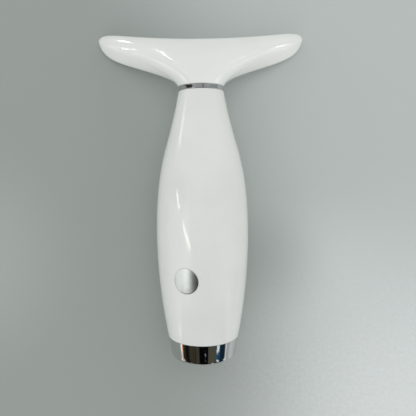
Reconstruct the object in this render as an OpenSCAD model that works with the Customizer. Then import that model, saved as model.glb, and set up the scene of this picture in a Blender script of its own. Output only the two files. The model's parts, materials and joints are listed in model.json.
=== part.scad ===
// Facial and neck massager: a bowling-pin handle with a whale-tail head, lying on its front.
// Millimetres. X runs across the head, Y from the foot to the head, +Z is the back of the massager.
// Every module draws in the axis frame, with y = 0 at the foot and the handle's axis along Y.
// made() then sets it down so that the belly and both head tips touch z = 0.

/* [Handle] */
// Length from the foot to the underside of the neck ring
handle_len = 131.5; // [129:0.5:134]
// Distance of the widest place from the foot
belly_at = 62.5; // [56:0.5:68]
// Diameter at the widest place
belly_d = 45.9; // [45:0.1:48]
// Distance of the waist station below the neck ring
waist_below = 27.5; // [25:0.5:29]
// Diameter at the waist station
waist_d = 35.9; // [35:0.1:38]
// How fast the radius falls along the handle at the waist
waist_fall = 0.285; // [0.24:0.005:0.32]
// Diameter where the handle meets the neck ring
neck_d = 22.9; // [22.4:0.1:24]
// How fast the radius falls along the handle at the neck
neck_fall = 0.17; // [0.1:0.01:0.24]
// Diameter where the handle meets the bottom cap
base_d = 35.2; // [35:0.1:36.4]
// How fast the radius grows along the handle above the cap
base_rise = 0.2; // [0.12:0.01:0.28]
// Wall of the two handle shells
wall = 2; // [1.6:0.1:2.4]

/* [Bottom cap] */
// Height of the chrome cap
cap_h = 10; // [9:0.5:12]
// Diameter of the cap just above its rounded foot
foot_d = 32.3; // [31.4:0.1:34]
// Radius of the rounded foot edge
foot_round = 1.6; // [0.8:0.1:2.2]
// Thickness of the cap's floor
cap_floor = 2; // [1.6:0.1:2.4]
// Bore of the cap, which takes the spigot of the two shells
cap_bore_d = 29.4; // [28.6:0.1:30]

/* [Neck] */
// Height of the chrome neck ring
ring_h = 2.6; // [2:0.1:3.4]
// How far the ring stands proud of the handle
ring_proud = 0.15; // [0.05:0.05:0.4]
// Width of the handle's end face that the neck ring sits on
ring_seat_w = 1.75; // [1.5:0.05:2]
// Wall of the handle's spigot inside the neck ring
neck_wall = 1.6; // [1.4:0.1:1.8]
// Length of the stem below the ring's top face
stem_len = 14; // [12:0.5:15]
// Wall of the stem
stem_wall = 1.5; // [1.2:0.1:2]
// How far the collar that locks the stem in the handle stands out from it
collar_w = 1.5; // [1.2:0.1:1.8]
// Height of the collar
collar_h = 2; // [1.4:0.1:2.6]

/* [Head] */
// Radius of the concave face across the head
face_radius = 102.5; // [98:0.5:112]
// Half width of the face, measured along its curve
face_half_w = 58; // [54:0.5:60]
// Tilt of the face, looking forward and up
face_tilt = 24; // [18:0.5:28]
// Distance of the face centre above the neck ring
face_above = 17.9; // [16:0.1:19]
// Height of the top edge above the face centre, in the middle
mid_top = 9.5; // [9:0.1:10.5]
// Height of the top edge above the face centre, at the tips
tip_top = 10.9; // [10:0.1:12.5]
// Depth of the lower edge below the face centre, in the middle
mid_low = 12; // [11:0.1:13.5]
// Depth of the lower edge below the face centre, at the tips
tip_low = 1.5; // [0.5:0.1:3]
// Softness of the lower edge's point in the middle
point_soft = 0.23; // [0.12:0.01:0.4]
// How high the tips' outermost points sit, as a share of the tip's half height
tip_skew = 0.34; // [0:0.02:0.5]
// Squareness of the tips' upper corners
corner_top = 10; // [8:1:14]
// Squareness of the tips' lower corners
corner_low = 14; // [10:1:18]
// Reach of the curves that leave the neck at the back and sides
neck_reach = 32; // [26:0.5:34]
// Reach of the curves that leave the neck at the front
front_reach = 13.5; // [9:0.5:16]
// Flare of the neck towards the sides
neck_flare = 0.32; // [0.1:0.02:0.5]
// Reach of the curves that arrive at the tips
tip_reach = 32; // [27:0.5:34]
// Reach of the curves that arrive at the top edge
edge_reach = 16; // [13:0.5:18]
// Reach of the curves that arrive at the lower edge
low_reach = 3.2; // [2.4:0.1:5]
// Rounding of the rim
rim_round = 0.9; // [0.5:0.1:1.1]
// Wall of the head shell at the neck
head_wall = 1.8; // [1.5:0.1:2.2]
// Wall of the head shell behind the rim
rim_wall = 1.2; // [1:0.05:1.3]

/* [Contact face] */
// Width of the shell's lip round the light window
lip_w = 1.8; // [1.6:0.1:2.2]
// Width of the visible light window
window_w = 2.1; // [1.6:0.1:2.6]
// Width of the window's ledge under the contact plate
ledge_w = 1.2; // [0.9:0.1:1.4]
// Thickness of the light window
window_t = 1.4; // [1.3:0.1:1.6]
// Thickness of the contact plate
plate_t = 1; // [0.8:0.05:1.1]
// How far the contact plate stands proud of the rim
plate_proud = 0.45; // [0.2:0.05:0.6]
// Number of light sources on each long side of the face
head_led_count = 9; // [5:2:11]

/* [Button] */
// Distance of the button's centre below the first mode window
button_below = 12; // [10:0.5:15]
// Diameter of the button
button_d = 11; // [9:0.5:12]
// Width of the chrome ring round the button
bezel_w = 1.35; // [1.2:0.05:2]
// Travel of the button
button_travel = 0.5; // [0.2:0.05:0.6]
// Distance of the first mode window below the neck ring
window_below = 35.5; // [34.5:0.5:36.5]
// Spacing of the mode windows
window_step = 4.5; // [3.5:0.1:4.8]
// Diameter of a mode window
mode_window_d = 2.2; // [1.6:0.1:2.6]

/* [Electronics] */
// Thickness of the main board
board_t = 1.2; // [1:0.1:1.4]
// Half width of the main board
board_half_w = 11.5; // [11:0.1:11.8]
// Distance of the main board's lower end from the foot
board_at = 24; // [23.6:0.1:24.4]
// Distance of the main board's upper end below the neck ring
board_below = 23.5; // [22.5:0.1:24]
// Diameter of the battery cell
cell_d = 18.4; // [17.6:0.1:18.6]
// Distance of the vibration motor's can below the neck ring
motor_below = 38.5; // [38:0.1:42]
// Diameter of the vibration motor
motor_d = 12; // [11:0.1:12.4]
// Length of the motor's steel can
motor_len = 15; // [13:0.5:15.4]
// Radius of the eccentric weight
weight_r = 5; // [4:0.1:5.4]
// Wire diameter
wire_d = 1; // [0.8:0.1:1.2]

/* [Label] */
// Diameter of the foil disc on the back
label_d = 12; // [8:0.5:14]
// Distance of the disc's centre from the foot
label_at = 41; // [30:0.5:50]
// Turn of the disc from the back's centre line
label_turn = 21; // [0:1:40]

/* [Hidden] */

// Smoothness
fine = 96;
small = 40;
bend_facets = 480;
skin_steps = 30;
loop_steps = 80;
rise_steps = 15;
hollow_steps = 9;

// Clearances, and how far a cutting shape runs past the face that it cuts
fit = 0.1;
slide_fit = 0.08;
film_gap = 0.05;
glue_t = 0.02;
past = 1;

// Handle, from the driving sizes
belly_r = belly_d / 2;
waist_at = handle_len - waist_below;
stations = [
    [cap_h, base_d / 2, base_rise],
    [belly_at, belly_r, 0],
    [waist_at, waist_d / 2, -waist_fall],
    [handle_len, neck_d / 2, -neck_fall]
];
neck_top = handle_len + ring_h;
spigot_r = cap_bore_d / 2 - fit;
spigot_at = cap_floor + 2;
spigot_wall = 1.8;
shoulder_h = 3;
ring_bore_r = neck_d / 2 - ring_seat_w;
neck_spigot_r = ring_bore_r - fit;
stem_r = neck_spigot_r - neck_wall - fit;
stem_bore_r = stem_r - stem_wall;
stem_end = neck_top - stem_len;
collar_r = stem_r + collar_w;
groove_play = 0.15;
collar_fit = 0.2;
rib_h = 2.2;
rib_at = stem_end - groove_play - rib_h;
rib_r = collar_r - 0.8;

// Face, from the driving sizes
face_y = neck_top + face_above;
rim_edges = [[0, rim_round], [0.3 * rim_round, 0.3 * rim_round], [rim_round, 0]];
tip_drop = min([for (i = [0:loop_steps - 1]) for (edge = rim_edges)
    face_drop(loop_angle(i), edge[0], edge[1])]);
face_z = -belly_r - tip_drop;
window_inset = lip_w + film_gap;
plate_inset = window_inset + window_w;
ledge_inset = plate_inset + ledge_w;
plate_back = plate_t - plate_proud;
film_t = 0.2;
film_margin = 0.4;
film_inset = ledge_inset + film_margin;
flex_behind = 0.95;
flex_at = window_t + flex_behind;
flex_t = 0.2;
flex_margin = 1.75;
flex_inset = window_inset + flex_margin;
flex_w = 3;
flex_end = 7;
flex_half_w = face_half_w - flex_end;
led_end = 8;
led_w = 2;
led_l = 1.2;
led_h = flex_at - window_t - 2 * film_gap;
led_half_w = flex_half_w - led_end;
thermistor_x = 12;
thermistor_r = 0.75;
carrier_at = flex_at + flex_t + film_gap;
carrier_t = 1.5;
carrier_inset = 4.2;
carrier_end = 16;
carrier_half_w = face_half_w - carrier_end;
post_h = 2;
post_r = 2.2;
head_board_at = carrier_at + carrier_t + post_h + film_gap;
head_board_t = 1;
head_board_w = 20;
head_board_h = 9;
head_screw_x = 7;
pin_up = -1;
pin_r = 0.7;
pin_sleeve_r = 1.2;
pin_nose = 2;
pin_len = head_board_at - plate_back - 2 * film_gap;
head_r = neck_d / 2 + film_gap;
outer_rings = [for (i = [0:rise_steps]) [for (j = [0:loop_steps - 1])
    head_skin(loop_angle(j), i / rise_steps)]];
total_len = max([for (ring = outer_rings) for (p = ring) p[1]]);

// Boards, battery and motor, from the driving sizes
board_front = -10;
board_back = board_front + board_t;
board_end = handle_len - board_below;
board_taper_l = 20;
board_taper_at = board_end - board_taper_l;
board_taper_w = 3;
board_screw_edge = 2.4;
board_screw_low = 12;
board_screw_high = 14;
board_screw_ys = [board_at + board_screw_low, board_taper_at - board_screw_high];
board_screw_x = board_half_w - board_screw_edge;
board_screw_places = [for (side = [-1, 1]) for (y = board_screw_ys) [side * board_screw_x, y]];
chip_at = 55;
chip_w = 7;
chip_h = 1;
transformer_at = [5, 40];
transformer_size = [8, 8, 6];
capacitor_at = [-5, 44];
capacitor_r = 3.2;
capacitor_h = 3.2;
coil_at = [7, 64];
coil_size = [2, 3.2, 1.4];
chassis_gap = 0.4;
chassis_front = board_back + chassis_gap;
chassis_t = 1.8;
chassis_back = chassis_front + chassis_t;
chassis_margin = 1;
chassis_half_w = board_half_w + chassis_margin;
chassis_at = board_at - chassis_margin;
chassis_end = board_end + 2 * chassis_margin;
chassis_end_w = 8.2;
standoff_r = 2;
saddle_floor = 1.2;
cell_z = chassis_back + saddle_floor + cell_d / 2;
motor_at = handle_len - motor_below;
motor_cap_t = 2;
cell_at = 22;
cell_room = 4;
cell_len = motor_at - motor_cap_t - cell_room - cell_at;
washer_t = 0.3;
washer_bore_r = 1;
tab_t = 0.3;
tab_w = 7;
tab_shift = 0.5;
pad_len = 30;
pad_below = 24;
pad_at = belly_at - pad_below;
pad_half_w = 5;
saddle_t = 2;
saddle_step = 1.5;
cell_saddle_w = 2 * (chassis_half_w - saddle_step);
saddle_top = -1;
saddle_end = 6;
cell_saddles = [
    cell_at + saddle_end, cell_at + (cell_len - saddle_t) / 2, cell_at + cell_len - saddle_end - saddle_t
];
boss_x = 13.8;
boss_low = 18;
boss_high = 13;
boss_ys = [cell_at + boss_low, cell_at + cell_len - boss_high];
boss_r = 2.3;
boss_bite = 6;
pilot_r = 0.8;
pilot_room = 2;
screw_head_d = 3;
screw_head_h = 1;
motor_r = motor_d / 2;
motor_spigot = 1.2;
motor_wall = 0.6;
shaft_r = 0.75;
bush_r = 1.6;
bush_t = 1.4;
shaft_play = 0.03;
magnet_t = 1.25;
magnet_r = motor_r - motor_wall - magnet_t - film_gap;
magnet_arc = 150;
magnet_end = 3;
magnet_at = motor_at + magnet_end;
magnet_len = motor_len - magnet_end - 2;
air_gap = 0.35;
core_r = magnet_r - air_gap;
core_low = 2.2;
core_high = 5.2;
core_at = motor_at + core_low;
core_len = motor_len - core_low - core_high;
core_slots = 3;
core_slot_w = 0.7;
commutator_r = 1.5;
commutator_at = motor_at - 0.2;
commutator_len = 2;
shaft_at = motor_at - motor_cap_t - 0.6;
hub_r = 1.9;
motor_saddle_t = 3;
motor_saddles = [motor_at + saddle_step, motor_at + motor_len - saddle_step - motor_saddle_t];
motor_saddle_w = 2 * (motor_r + saddle_step);
clip_at = motor_at + motor_len / 2;
clip_w = 4;
clip_t = 0.6;
clip_foot_w = 5;
clip_post_r = 2;
clip_screw_len = 4;
clip_post_x = motor_r + 2.9;
weight_at = motor_at + motor_len + 1.4;
weight_len = 5;

// Button and switch, from the driving sizes
window_at = handle_len - window_below;
button_at = window_at - button_below;
button_r = button_d / 2;
button_stem_r = 1.4;
bezel_tube = 0.5;
bezel_proud = 0.4;
bezel_r = button_r + slide_fit + bezel_w;
bezel_low = button_at - bezel_r - past;
bezel_high = button_at + bezel_r + past;
switch_w = 6;
switch_h = 3.5;
plunger_r = 1.6;
plunger_rise = button_travel + 1;
plunger_in = 1.6;
plunger_room = 0.3;
plunger_tip = board_front - switch_h - plunger_rise;
button_steps = 4;
flange_r = button_r + 0.9;
flange_t = 1;
flange_gap = 0.6;
flange_z = sqrt((handle_r(button_at + flange_r) - wall - flange_gap) ^ 2 - flange_r ^ 2);
mode_count = 3;
guide_w = 4;
guide_t = 1.2;
guide_end = 2.5;
mode_led_w = 0.8;
mode_led_l = 1.6;
mode_led_h = 0.8;

// Socket and charge board, from the driving sizes
usb_w = 9;
usb_h = 3.2;
usb_at = 0.9;
usb_len = 7.5;
usb_wall = 0.3;
usb_play = 0.25;
charge_top = -usb_h / 2 - film_gap;
charge_t = 1;
charge_w = 18;
end_plate_t = 1.8;
charge_at = cap_floor + end_plate_t + 4 * fit;
charge_end = 19;
charge_chip_size = [5, 4, 1.2];
charge_diode_size = [1.6, 3, 1];
rail_w = 2;
rail_grip = 0.7;
rail_lip = 1.5;
rail_len = charge_end - 3 - end_plate_t;
rail_x = charge_w / 2 - rail_grip + rail_w / 2;
tongue_w = 6.6;
tongue_t = 0.7;
tongue_inset = 0.8;
tongue_base_l = 1.9;

// Board connectors: [x, y of the joint between header and plug, direction along Y, ways]
connectors = [
    [-6, 28, -1, 2],
    [6, 28, -1, 2],
    [-6, board_end - 12, -1, 2],
    [6.2, board_end - 10, 1, 4]
];
header_l = 3.4;
header_h = 2.7;
header_end = 1.6;
plug_l = 3.2;
way_pitch = 1.25;
plug_h = 2.4;

// Wire routes: points chosen by hand, from the plug face to the far end
wire_lead = 1.3;
plus_seat = [-2.4, cell_at + cell_len + washer_t + tab_t, cell_z + 0.8];
minus_seat = [-2.2, cell_at - washer_t - tab_t, cell_z - 0.8];
cell_side = [-cell_d / 2 - 0.4, cell_at, cell_z + 5.4];
motor_seat = [4, motor_at - motor_cap_t, 0];
charge_seat = [6, charge_end - 1.6, charge_top];
head_seat = [0, neck_top, 0];
cell_route_plus = [
    plug_exit(0, 0), plug_exit(0, 0) + [0, -2.6, 0], [-7.4, 20.6, -7], [-9.6, 21.2, 3],
    cell_side + [-0.2, 5, -0.4], cell_side + [0, cell_len / 3, 0], cell_side + [0, cell_len * 2 / 3, 0],
    cell_side + [-0.2, cell_len - 4, -0.4], cell_side + [0.2, cell_len, -1.6],
    plus_seat + [-5, wire_lead, 1.4], plus_seat + [-1.6, wire_lead + 0.9, 0.4], plus_seat + [0, wire_lead, 0],
    plus_seat
];
cell_route_minus = [
    plug_exit(0, 1), plug_exit(0, 1) + [0, -2.8, 0], [-4, 19.9, -8], minus_seat + [-0.2, -1.8, -3],
    minus_seat + [0, -wire_lead, 0], minus_seat
];
motor_route_a = [
    plug_exit(2, 1), plug_exit(2, 1) + [0, -1.7, 0], motor_seat + [-12, -0.8, -11.2],
    motor_seat + [-17.3, -1.4, -9.8], motor_seat + [-18, -1.6, -7.2], motor_seat + [-16.6, -1.7, -3.6],
    motor_seat + [-12, -2, -1.6], motor_seat + [-8.8, -2, -0.4], motor_seat + [-8, -wire_lead, 0],
    motor_seat + [-8, 0, 0]
];
motor_route_b = [
    plug_exit(2, 0), plug_exit(2, 0) + [0, -0.8, 0], motor_seat + [-14.4, 0.7, -11.5],
    motor_seat + [-18.1, 0.2, -10], motor_seat + [-19, 0, -7], motor_seat + [-17.6, -0.2, -1],
    motor_seat + [-13, -1.4, 2.4], motor_seat + [-6, -2.1, 3], motor_seat + [-0.9, -2.2, 1.4],
    motor_seat + [0, -wire_lead, 0], motor_seat
];
harness_route = [
    plug_exit(3, 1.5), plug_exit(3, 1.5) + [0, 2.4, 0], head_seat + [4.4, -26.6, -11.1],
    head_seat + [1.6, -21.6, -9.6], head_seat + [0, -15.5, -6.2], head_seat + [0, -10.1, -3.6],
    head_seat + [0, -0.1, -1.4], head_seat + [0, 5.9, 0.6], head_seat + [0, 10.3, 1.8]
];
charge_route = [
    charge_seat, charge_seat + [0, 0, 1.1], charge_seat + [0.2, 1.6, 1.9], charge_seat + [0.4, 2.8, 0],
    [6.2, 20.2, -8.6], plug_exit(1, 0.5) + [0, -2.4, 0], plug_exit(1, 0.5)
];
route_steps = 4;

// Curves

function lerp(a, b, t) = a + (b - a) * t;

function hermite(p, dp, q, dq, t) =
    (2 * t ^ 3 - 3 * t ^ 2 + 1) * p + (t ^ 3 - 2 * t ^ 2 + t) * dp
    + (3 * t ^ 2 - 2 * t ^ 3) * q + (t ^ 3 - t ^ 2) * dq;

function span_r(i, y) =
    let (a = stations[i], b = stations[i + 1], h = b[0] - a[0])
    hermite(a[1], a[2] * h, b[1], b[2] * h, (y - a[0]) / h);

// Radius of the handle at a distance from the foot
function handle_r(y) = y < belly_at ? span_r(0, y) : y < waist_at ? span_r(1, y) : span_r(2, y);

function unit(v) = v / norm(v);

// A smooth line through a list of points
function smooth(pts, steps) =
    let (last = len(pts) - 1)
    concat(
        [for (i = [0:last - 1])
            let (before = pts[max(i - 1, 0)], after = pts[min(i + 2, last)])
            let (leave = (pts[i + 1] - before) / 2, arrive = (after - pts[i]) / 2)
            for (s = [0:steps - 1]) hermite(pts[i], leave, pts[i + 1], arrive, s / steps)],
        [pts[last]]
    );

function shifted(pts, move) = [for (p = pts) p + move];

// Where a wire leaves a plug: which connector and which of its ways
function plug_exit(i, way) =
    let (at = connectors[i])
    [at[0] + (way - (at[3] - 1) / 2) * way_pitch, at[1] + at[2] * plug_l, board_front - plug_h / 2];

// The face: a curved outline on a cylinder whose axis runs up the face

function loop_angle(i) = i * 360 / loop_steps;

function edge_top(v) = mid_top + (tip_top - mid_top) * v ^ 2;

function edge_low(v) =
    let (point = (sqrt(v ^ 2 + point_soft ^ 2) - point_soft) / (sqrt(1 + point_soft ^ 2) - point_soft))
    lerp(-mid_low, -tip_low, point);

// Outline at angle a: [distance across along the curve, height], drawn in from the rim
function face_outline(a, inset = 0, half_w = 0) =
    let (end = half_w > 0 ? half_w : face_half_w - inset)
    let (share = abs(cos(a)), v = share * end / face_half_w, v_end = end / face_half_w)
    let (top = edge_top(v) - inset, low = edge_low(v) + inset)
    let (end_top = edge_top(v_end) - inset, end_low = edge_low(v_end) + inset)
    let (tip = lerp(end_low, end_top, 0.5 + tip_skew / 2))
    [end * cos(a), sin(a) >= 0
        ? tip + (top - tip) * sqrt(1 - share ^ corner_top)
        : tip - (tip - low) * sqrt(1 - share ^ corner_low)];

// A point of the face at a depth behind it
function face_point(at, depth = 0) =
    let (turn = at[0] / face_radius * 180 / PI, r = face_radius + depth)
    let (fall = face_radius - r * cos(turn))
    [r * sin(turn), face_y + at[1] * cos(face_tilt) + fall * sin(face_tilt),
        face_z + at[1] * sin(face_tilt) - fall * cos(face_tilt)];

// Height of a point at the rim above the face centre
function face_drop(a, inset, depth) =
    let (at = face_outline(a, inset), turn = at[0] / face_radius * 180 / PI)
    at[1] * sin(face_tilt) - (face_radius - (face_radius + depth) * cos(turn)) * cos(face_tilt);

// The way out of the face at a distance across
function face_out(across) =
    let (turn = across / face_radius * 180 / PI)
    [-sin(turn), cos(turn) * sin(face_tilt), -cos(turn) * cos(face_tilt)];

// The head's skin: t = 0 on the neck circle, t = 1 on the rim
function head_skin(a, t) =
    let (at = face_outline(a), back = max(sin(a), 0), front = max(-sin(a), 0))
    let (leave = lerp(neck_reach, front_reach, front))
    let (arrive = tip_reach + (edge_reach - tip_reach) * back + (low_reach - tip_reach) * front)
    hermite(
        [head_r * cos(a), neck_top, head_r * sin(a)],
        leave * unit([neck_flare * cos(a), 1, 0]),
        face_point(at, rim_round),
        arrive * face_out(at[0]),
        t
    );

// The inside of the skin, one wall further in
function head_hollow(a, t) =
    let (da = 0.5, dt = 0.004)
    let (along = head_skin(a, min(t + dt, 1)) - head_skin(a, max(t - dt, 0)))
    let (round = head_skin(a + da, t) - head_skin(a - da, t))
    head_skin(a, t) - lerp(head_wall, rim_wall, t) * unit(cross(along, round));

function circle_ring(r, y) =
    [for (i = [0:loop_steps - 1]) [r * cos(loop_angle(i)), y, r * sin(loop_angle(i))]];

function rim_ring(inset, depth) =
    [for (i = [0:loop_steps - 1]) face_point(face_outline(loop_angle(i), inset), depth)];

// Shared shapes

// Sets a piece down in the resting frame
module made(colour) {
    translate([0, -total_len / 2, belly_r])
        color(colour)
            children();
}

// Turns a shape that stands on Z to run along the handle
module along_y(y = 0) {
    translate([0, y, 0])
        rotate([-90, 0, 0])
            children();
}

// Face frame: X across, Y up the face, Z into the head
module in_face() {
    translate([0, face_y, face_z])
        rotate([face_tilt, 0, 0])
            children();
}

// A plate that follows the face between two depths
module bent_plate(outline, front, back) {
    reach = face_radius * (1 - cos(face_half_w / face_radius * 180 / PI)) + 4 * past;
    span = 4 * (mid_low + tip_top);
    intersection() {
        translate([0, 0, -reach])
            linear_extrude(height = reach + 8 * past)
                polygon(outline);
        translate([0, 0, -face_radius])
            rotate([90, 0, 0])
                difference() {
                    cylinder(r = face_radius + back, h = span, center = true, $fn = bend_facets);
                    cylinder(r = face_radius + front, h = span + 2 * past, center = true, $fn = bend_facets);
                }
    }
}

// Outline of a bent plate, seen straight on
function flat_outline(inset, half_w = 0) =
    [for (i = [0:loop_steps - 1])
        let (at = face_outline(loop_angle(i), inset, half_w))
        [face_radius * sin(at[0] / face_radius * 180 / PI), at[1]]];

// Places children on the face at a distance across and up, turned to the face
module on_face(across, up, depth) {
    translate([0, 0, -face_radius])
        rotate([0, across / face_radius * 180 / PI, 0])
            translate([0, up, face_radius + depth])
                children();
}

// A closed body from rings that join back to the first one
module ring_body(rings) {
    n = len(rings);
    m = loop_steps;
    polyhedron(
        points = [for (ring = rings) for (p = ring) p],
        faces = [for (i = [0:n - 1]) for (j = [0:m - 1])
            let (a = i * m, b = ((i + 1) % n) * m, k = (j + 1) % m)
            each [[a + j, a + k, b + k], [a + j, b + k, b + j]]],
        convexity = 10
    );
}

// A layer of the handle between two offsets from its surface
module skin(low, high, y0, y1, steps = 8) {
    ys = [for (i = [0:steps]) lerp(y0, y1, i / steps)];
    along_y()
        rotate_extrude($fn = fine)
            polygon(concat(
                [for (y = ys) [handle_r(y) + high, y]],
                [for (i = [steps:-1:0]) [max(handle_r(ys[i]) + low, 0), ys[i]]]
            ));
}

// Section of the handle shells
function shell_section() =
    let (ys = [for (i = [0:skin_steps]) lerp(cap_h, handle_len, i / skin_steps)])
    let (inner_low = cap_h + shoulder_h)
    let (inner = [for (i = [skin_steps / 2:-1:0]) lerp(inner_low, rib_at, 2 * i / skin_steps)])
    concat(
        [[spigot_r, spigot_at], [spigot_r, cap_h]],
        [for (y = ys) [handle_r(y), y]],
        [
            [neck_spigot_r, handle_len], [neck_spigot_r, neck_top - fit], [stem_r + fit, neck_top - fit],
            [stem_r + fit, stem_end + collar_h + groove_play],
            [collar_r + collar_fit, stem_end + collar_h + groove_play],
            [collar_r + collar_fit, stem_end - groove_play], [rib_r, stem_end - groove_play], [rib_r, rib_at]
        ],
        [for (y = inner) [handle_r(y) - wall, y]],
        [[spigot_r - spigot_wall, cap_h], [spigot_r - spigot_wall, spigot_at]]
    );

// Half of the handle shell: turn 0 is the front half, 180 the rear half
module half_shell(turn) {
    along_y()
        rotate([0, 0, turn])
            rotate_extrude(angle = 180, $fn = fine)
                polygon(shell_section());
}

// A box with round ends across, standing on Z
module slot(w, h, len) {
    r = h / 2;
    for (side = [-1, 1])
        translate([side * (w / 2 - r), 0, 0])
            cylinder(r = r, h = len, $fn = small);
    translate([-(w / 2 - r), -r, 0])
        cube([w - h, h, len]);
}

// A column through the front of the handle at the button, whose start line is off the skin's bands
module button_column(r) {
    translate([0, button_at, -belly_r - 2])
        rotate([0, 0, 45])
            cylinder(r = r, h = belly_r, $fn = fine);
}

module box(centre_x, y0, z0, size) {
    translate([centre_x - size[0] / 2, y0, z0])
        cube(size);
}

// A round wire swept along a smooth route
module wire(route, d = wire_d) {
    pts = smooth(route, route_steps);
    last = len(pts) - 1;
    sides = 8;
    // The frame is carried along the route, so the tube doesn't twist
    function direction(i) =
        i == 0 ? unit(route[1] - route[0])
        : i == last ? unit(route[len(route) - 1] - route[len(route) - 2])
        : unit(pts[i + 1] - pts[i - 1]);
    function frames(i, side) =
        let (dir = direction(i), flat = unit(side - (side * dir) * dir))
        i == last ? [[dir, flat]] : concat([[dir, flat]], frames(i + 1, flat));
    start = direction(0);
    axes = frames(0, abs(start[0]) > 0.9 ? [0, 0, 1] : [1, 0, 0]);
    polyhedron(
        points = [for (i = [0:last]) for (s = [0:sides - 1])
            let (u = axes[i][1], v = cross(axes[i][0], u), a = s * 360 / sides)
            pts[i] + d / 2 * (cos(a) * u + sin(a) * v)],
        faces = concat(
            [[for (s = [0:sides - 1]) s]],
            [for (i = [0:last - 1]) for (s = [0:sides - 1])
                let (a = i * sides, b = a + sides, k = (s + 1) % sides)
                each [[a + s, b + k, a + k], [a + s, b + s, b + k]]],
            [[for (s = [sides - 1:-1:0]) last * sides + s]]
        ),
        convexity = 10
    );
}

module screw(d, head_d, head_h, len) {
    cylinder(r = d / 2, h = len, $fn = small);
    difference() {
        translate([0, 0, -head_h])
            cylinder(r = head_d / 2, h = head_h, $fn = small);
        for (turn = [0, 90])
            rotate([0, 0, turn])
                translate([-head_d / 3, -0.2, -head_h - 1])
                    cube([head_d / 1.5, 0.4, 1.4]);
    }
}

// Handle

module rear_handle_shell() {
    made("white")
        difference() {
            union() {
                half_shell(180);
                intersection() {
                    for (side = [-1, 1])
                        for (y = boss_ys)
                            translate([side * boss_x, y, chassis_back])
                                cylinder(r = boss_r, h = belly_r, $fn = small);
                    skin(-belly_r, -wall / 2, boss_ys[0] - 2 * boss_r, boss_ys[1] + 2 * boss_r);
                }
            }
            for (side = [-1, 1])
                for (y = boss_ys)
                    translate([side * boss_x, y, chassis_back - past])
                        cylinder(r = pilot_r, h = past + boss_bite + pilot_room, $fn = small);
        }
}

module front_handle_shell() {
    made("white")
        difference() {
            half_shell(0);
            translate([0, button_at, -belly_r - past])
                cylinder(r = button_r + slide_fit + bezel_tube + fit / 2, h = belly_r, $fn = small);
            for (i = [0:mode_count - 1])
                translate([0, window_at + i * window_step, -belly_r - past])
                    cylinder(r = mode_window_d / 2 + fit / 2, h = belly_r, $fn = small);
        }
}

module neck_ring() {
    ring_r = neck_d / 2 + ring_proud;
    edge = 0.2;
    made("silver")
        along_y(handle_len)
            rotate_extrude($fn = fine)
                polygon([
                    [ring_bore_r, 0], [ring_r - edge, 0], [ring_r, edge], [ring_r, ring_h - edge],
                    [ring_r - edge, ring_h], [ring_bore_r, ring_h]
                ]);
}

module bottom_cap() {
    arc_steps = 6;
    arc = [for (i = [0:arc_steps])
        let (a = 90 * i / arc_steps)
        [foot_d / 2 - foot_round + foot_round * sin(a), foot_round - foot_round * cos(a)]];
    made("silver")
        along_y()
            difference() {
                rotate_extrude($fn = fine)
                    polygon(concat(
                        [[0, 0]],
                        arc,
                        [[base_d / 2 + film_gap, cap_h], [cap_bore_d / 2, cap_h], [cap_bore_d / 2, cap_floor],
                            [0, cap_floor]]
                    ));
                translate([0, 0, -past])
                    slot(usb_w + 2 * usb_play, usb_h + 2 * usb_play, cap_floor + 2 * past);
            }
}

module label_disc() {
    foil_t = 0.15;
    made("gainsboro")
        intersection() {
            rotate([0, -label_turn, 0])
                translate([0, label_at, 0])
                    cylinder(r = label_d / 2, h = belly_r + 2 * past, $fn = fine);
            skin(glue_t, glue_t + foil_t, label_at - label_d / 2 - past, label_at + label_d / 2 + past);
        }
}

// Head

module rear_head_shell() {
    first = 0.06;
    hollow = [for (i = [hollow_steps:-1:0])
        let (t = lerp(first, 1, i / hollow_steps))
        [for (j = [0:loop_steps - 1]) head_hollow(loop_angle(j), t)]];
    floor_y = neck_top + head_wall;
    made("white")
        ring_body(concat(
            outer_rings,
            [for (i = [1:2]) rim_ring(rim_edges[i][0], rim_edges[i][1])],
            [rim_ring(lip_w, 0)],
            hollow,
            [
                circle_ring(stem_bore_r, floor_y), circle_ring(stem_bore_r, stem_end),
                circle_ring(collar_r, stem_end), circle_ring(collar_r, stem_end + collar_h),
                circle_ring(stem_r, stem_end + collar_h), circle_ring(stem_r, neck_top)
            ]
        ));
}

// Clear ring: its front shows round the plate and its ledge carries the plate
module light_window() {
    made("whitesmoke")
        in_face()
            difference() {
                bent_plate(flat_outline(window_inset), 0, window_t);
                bent_plate(flat_outline(plate_inset), -past, plate_back + film_gap);
                bent_plate(flat_outline(ledge_inset), -past, window_t + past);
            }
}

module contact_plate() {
    made("lightgray")
        in_face()
            bent_plate(flat_outline(plate_inset + fit), -plate_proud, plate_back);
}

module heater_film() {
    made("darkorange")
        in_face()
            difference() {
                bent_plate(flat_outline(film_inset, carrier_half_w), plate_back + film_gap,
                    plate_back + film_gap + film_t);
                translate([0, pin_up, -past])
                    cylinder(r = pin_sleeve_r + 6 * fit, h = plate_back + film_t + 2 * past, $fn = small);
            }
}

module thermistor() {
    made("black")
        in_face()
            on_face(thermistor_x, 0, plate_back + 2 * film_gap + film_t + thermistor_r)
                sphere(r = thermistor_r, $fn = small);
}

module led_flex() {
    made("gold")
        in_face()
            difference() {
                bent_plate(flat_outline(flex_inset, flex_half_w), flex_at, flex_at + flex_t);
                bent_plate(flat_outline(flex_inset + flex_w, flex_half_w - flex_w), flex_at - past,
                    flex_at + flex_t + past);
            }
}

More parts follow.
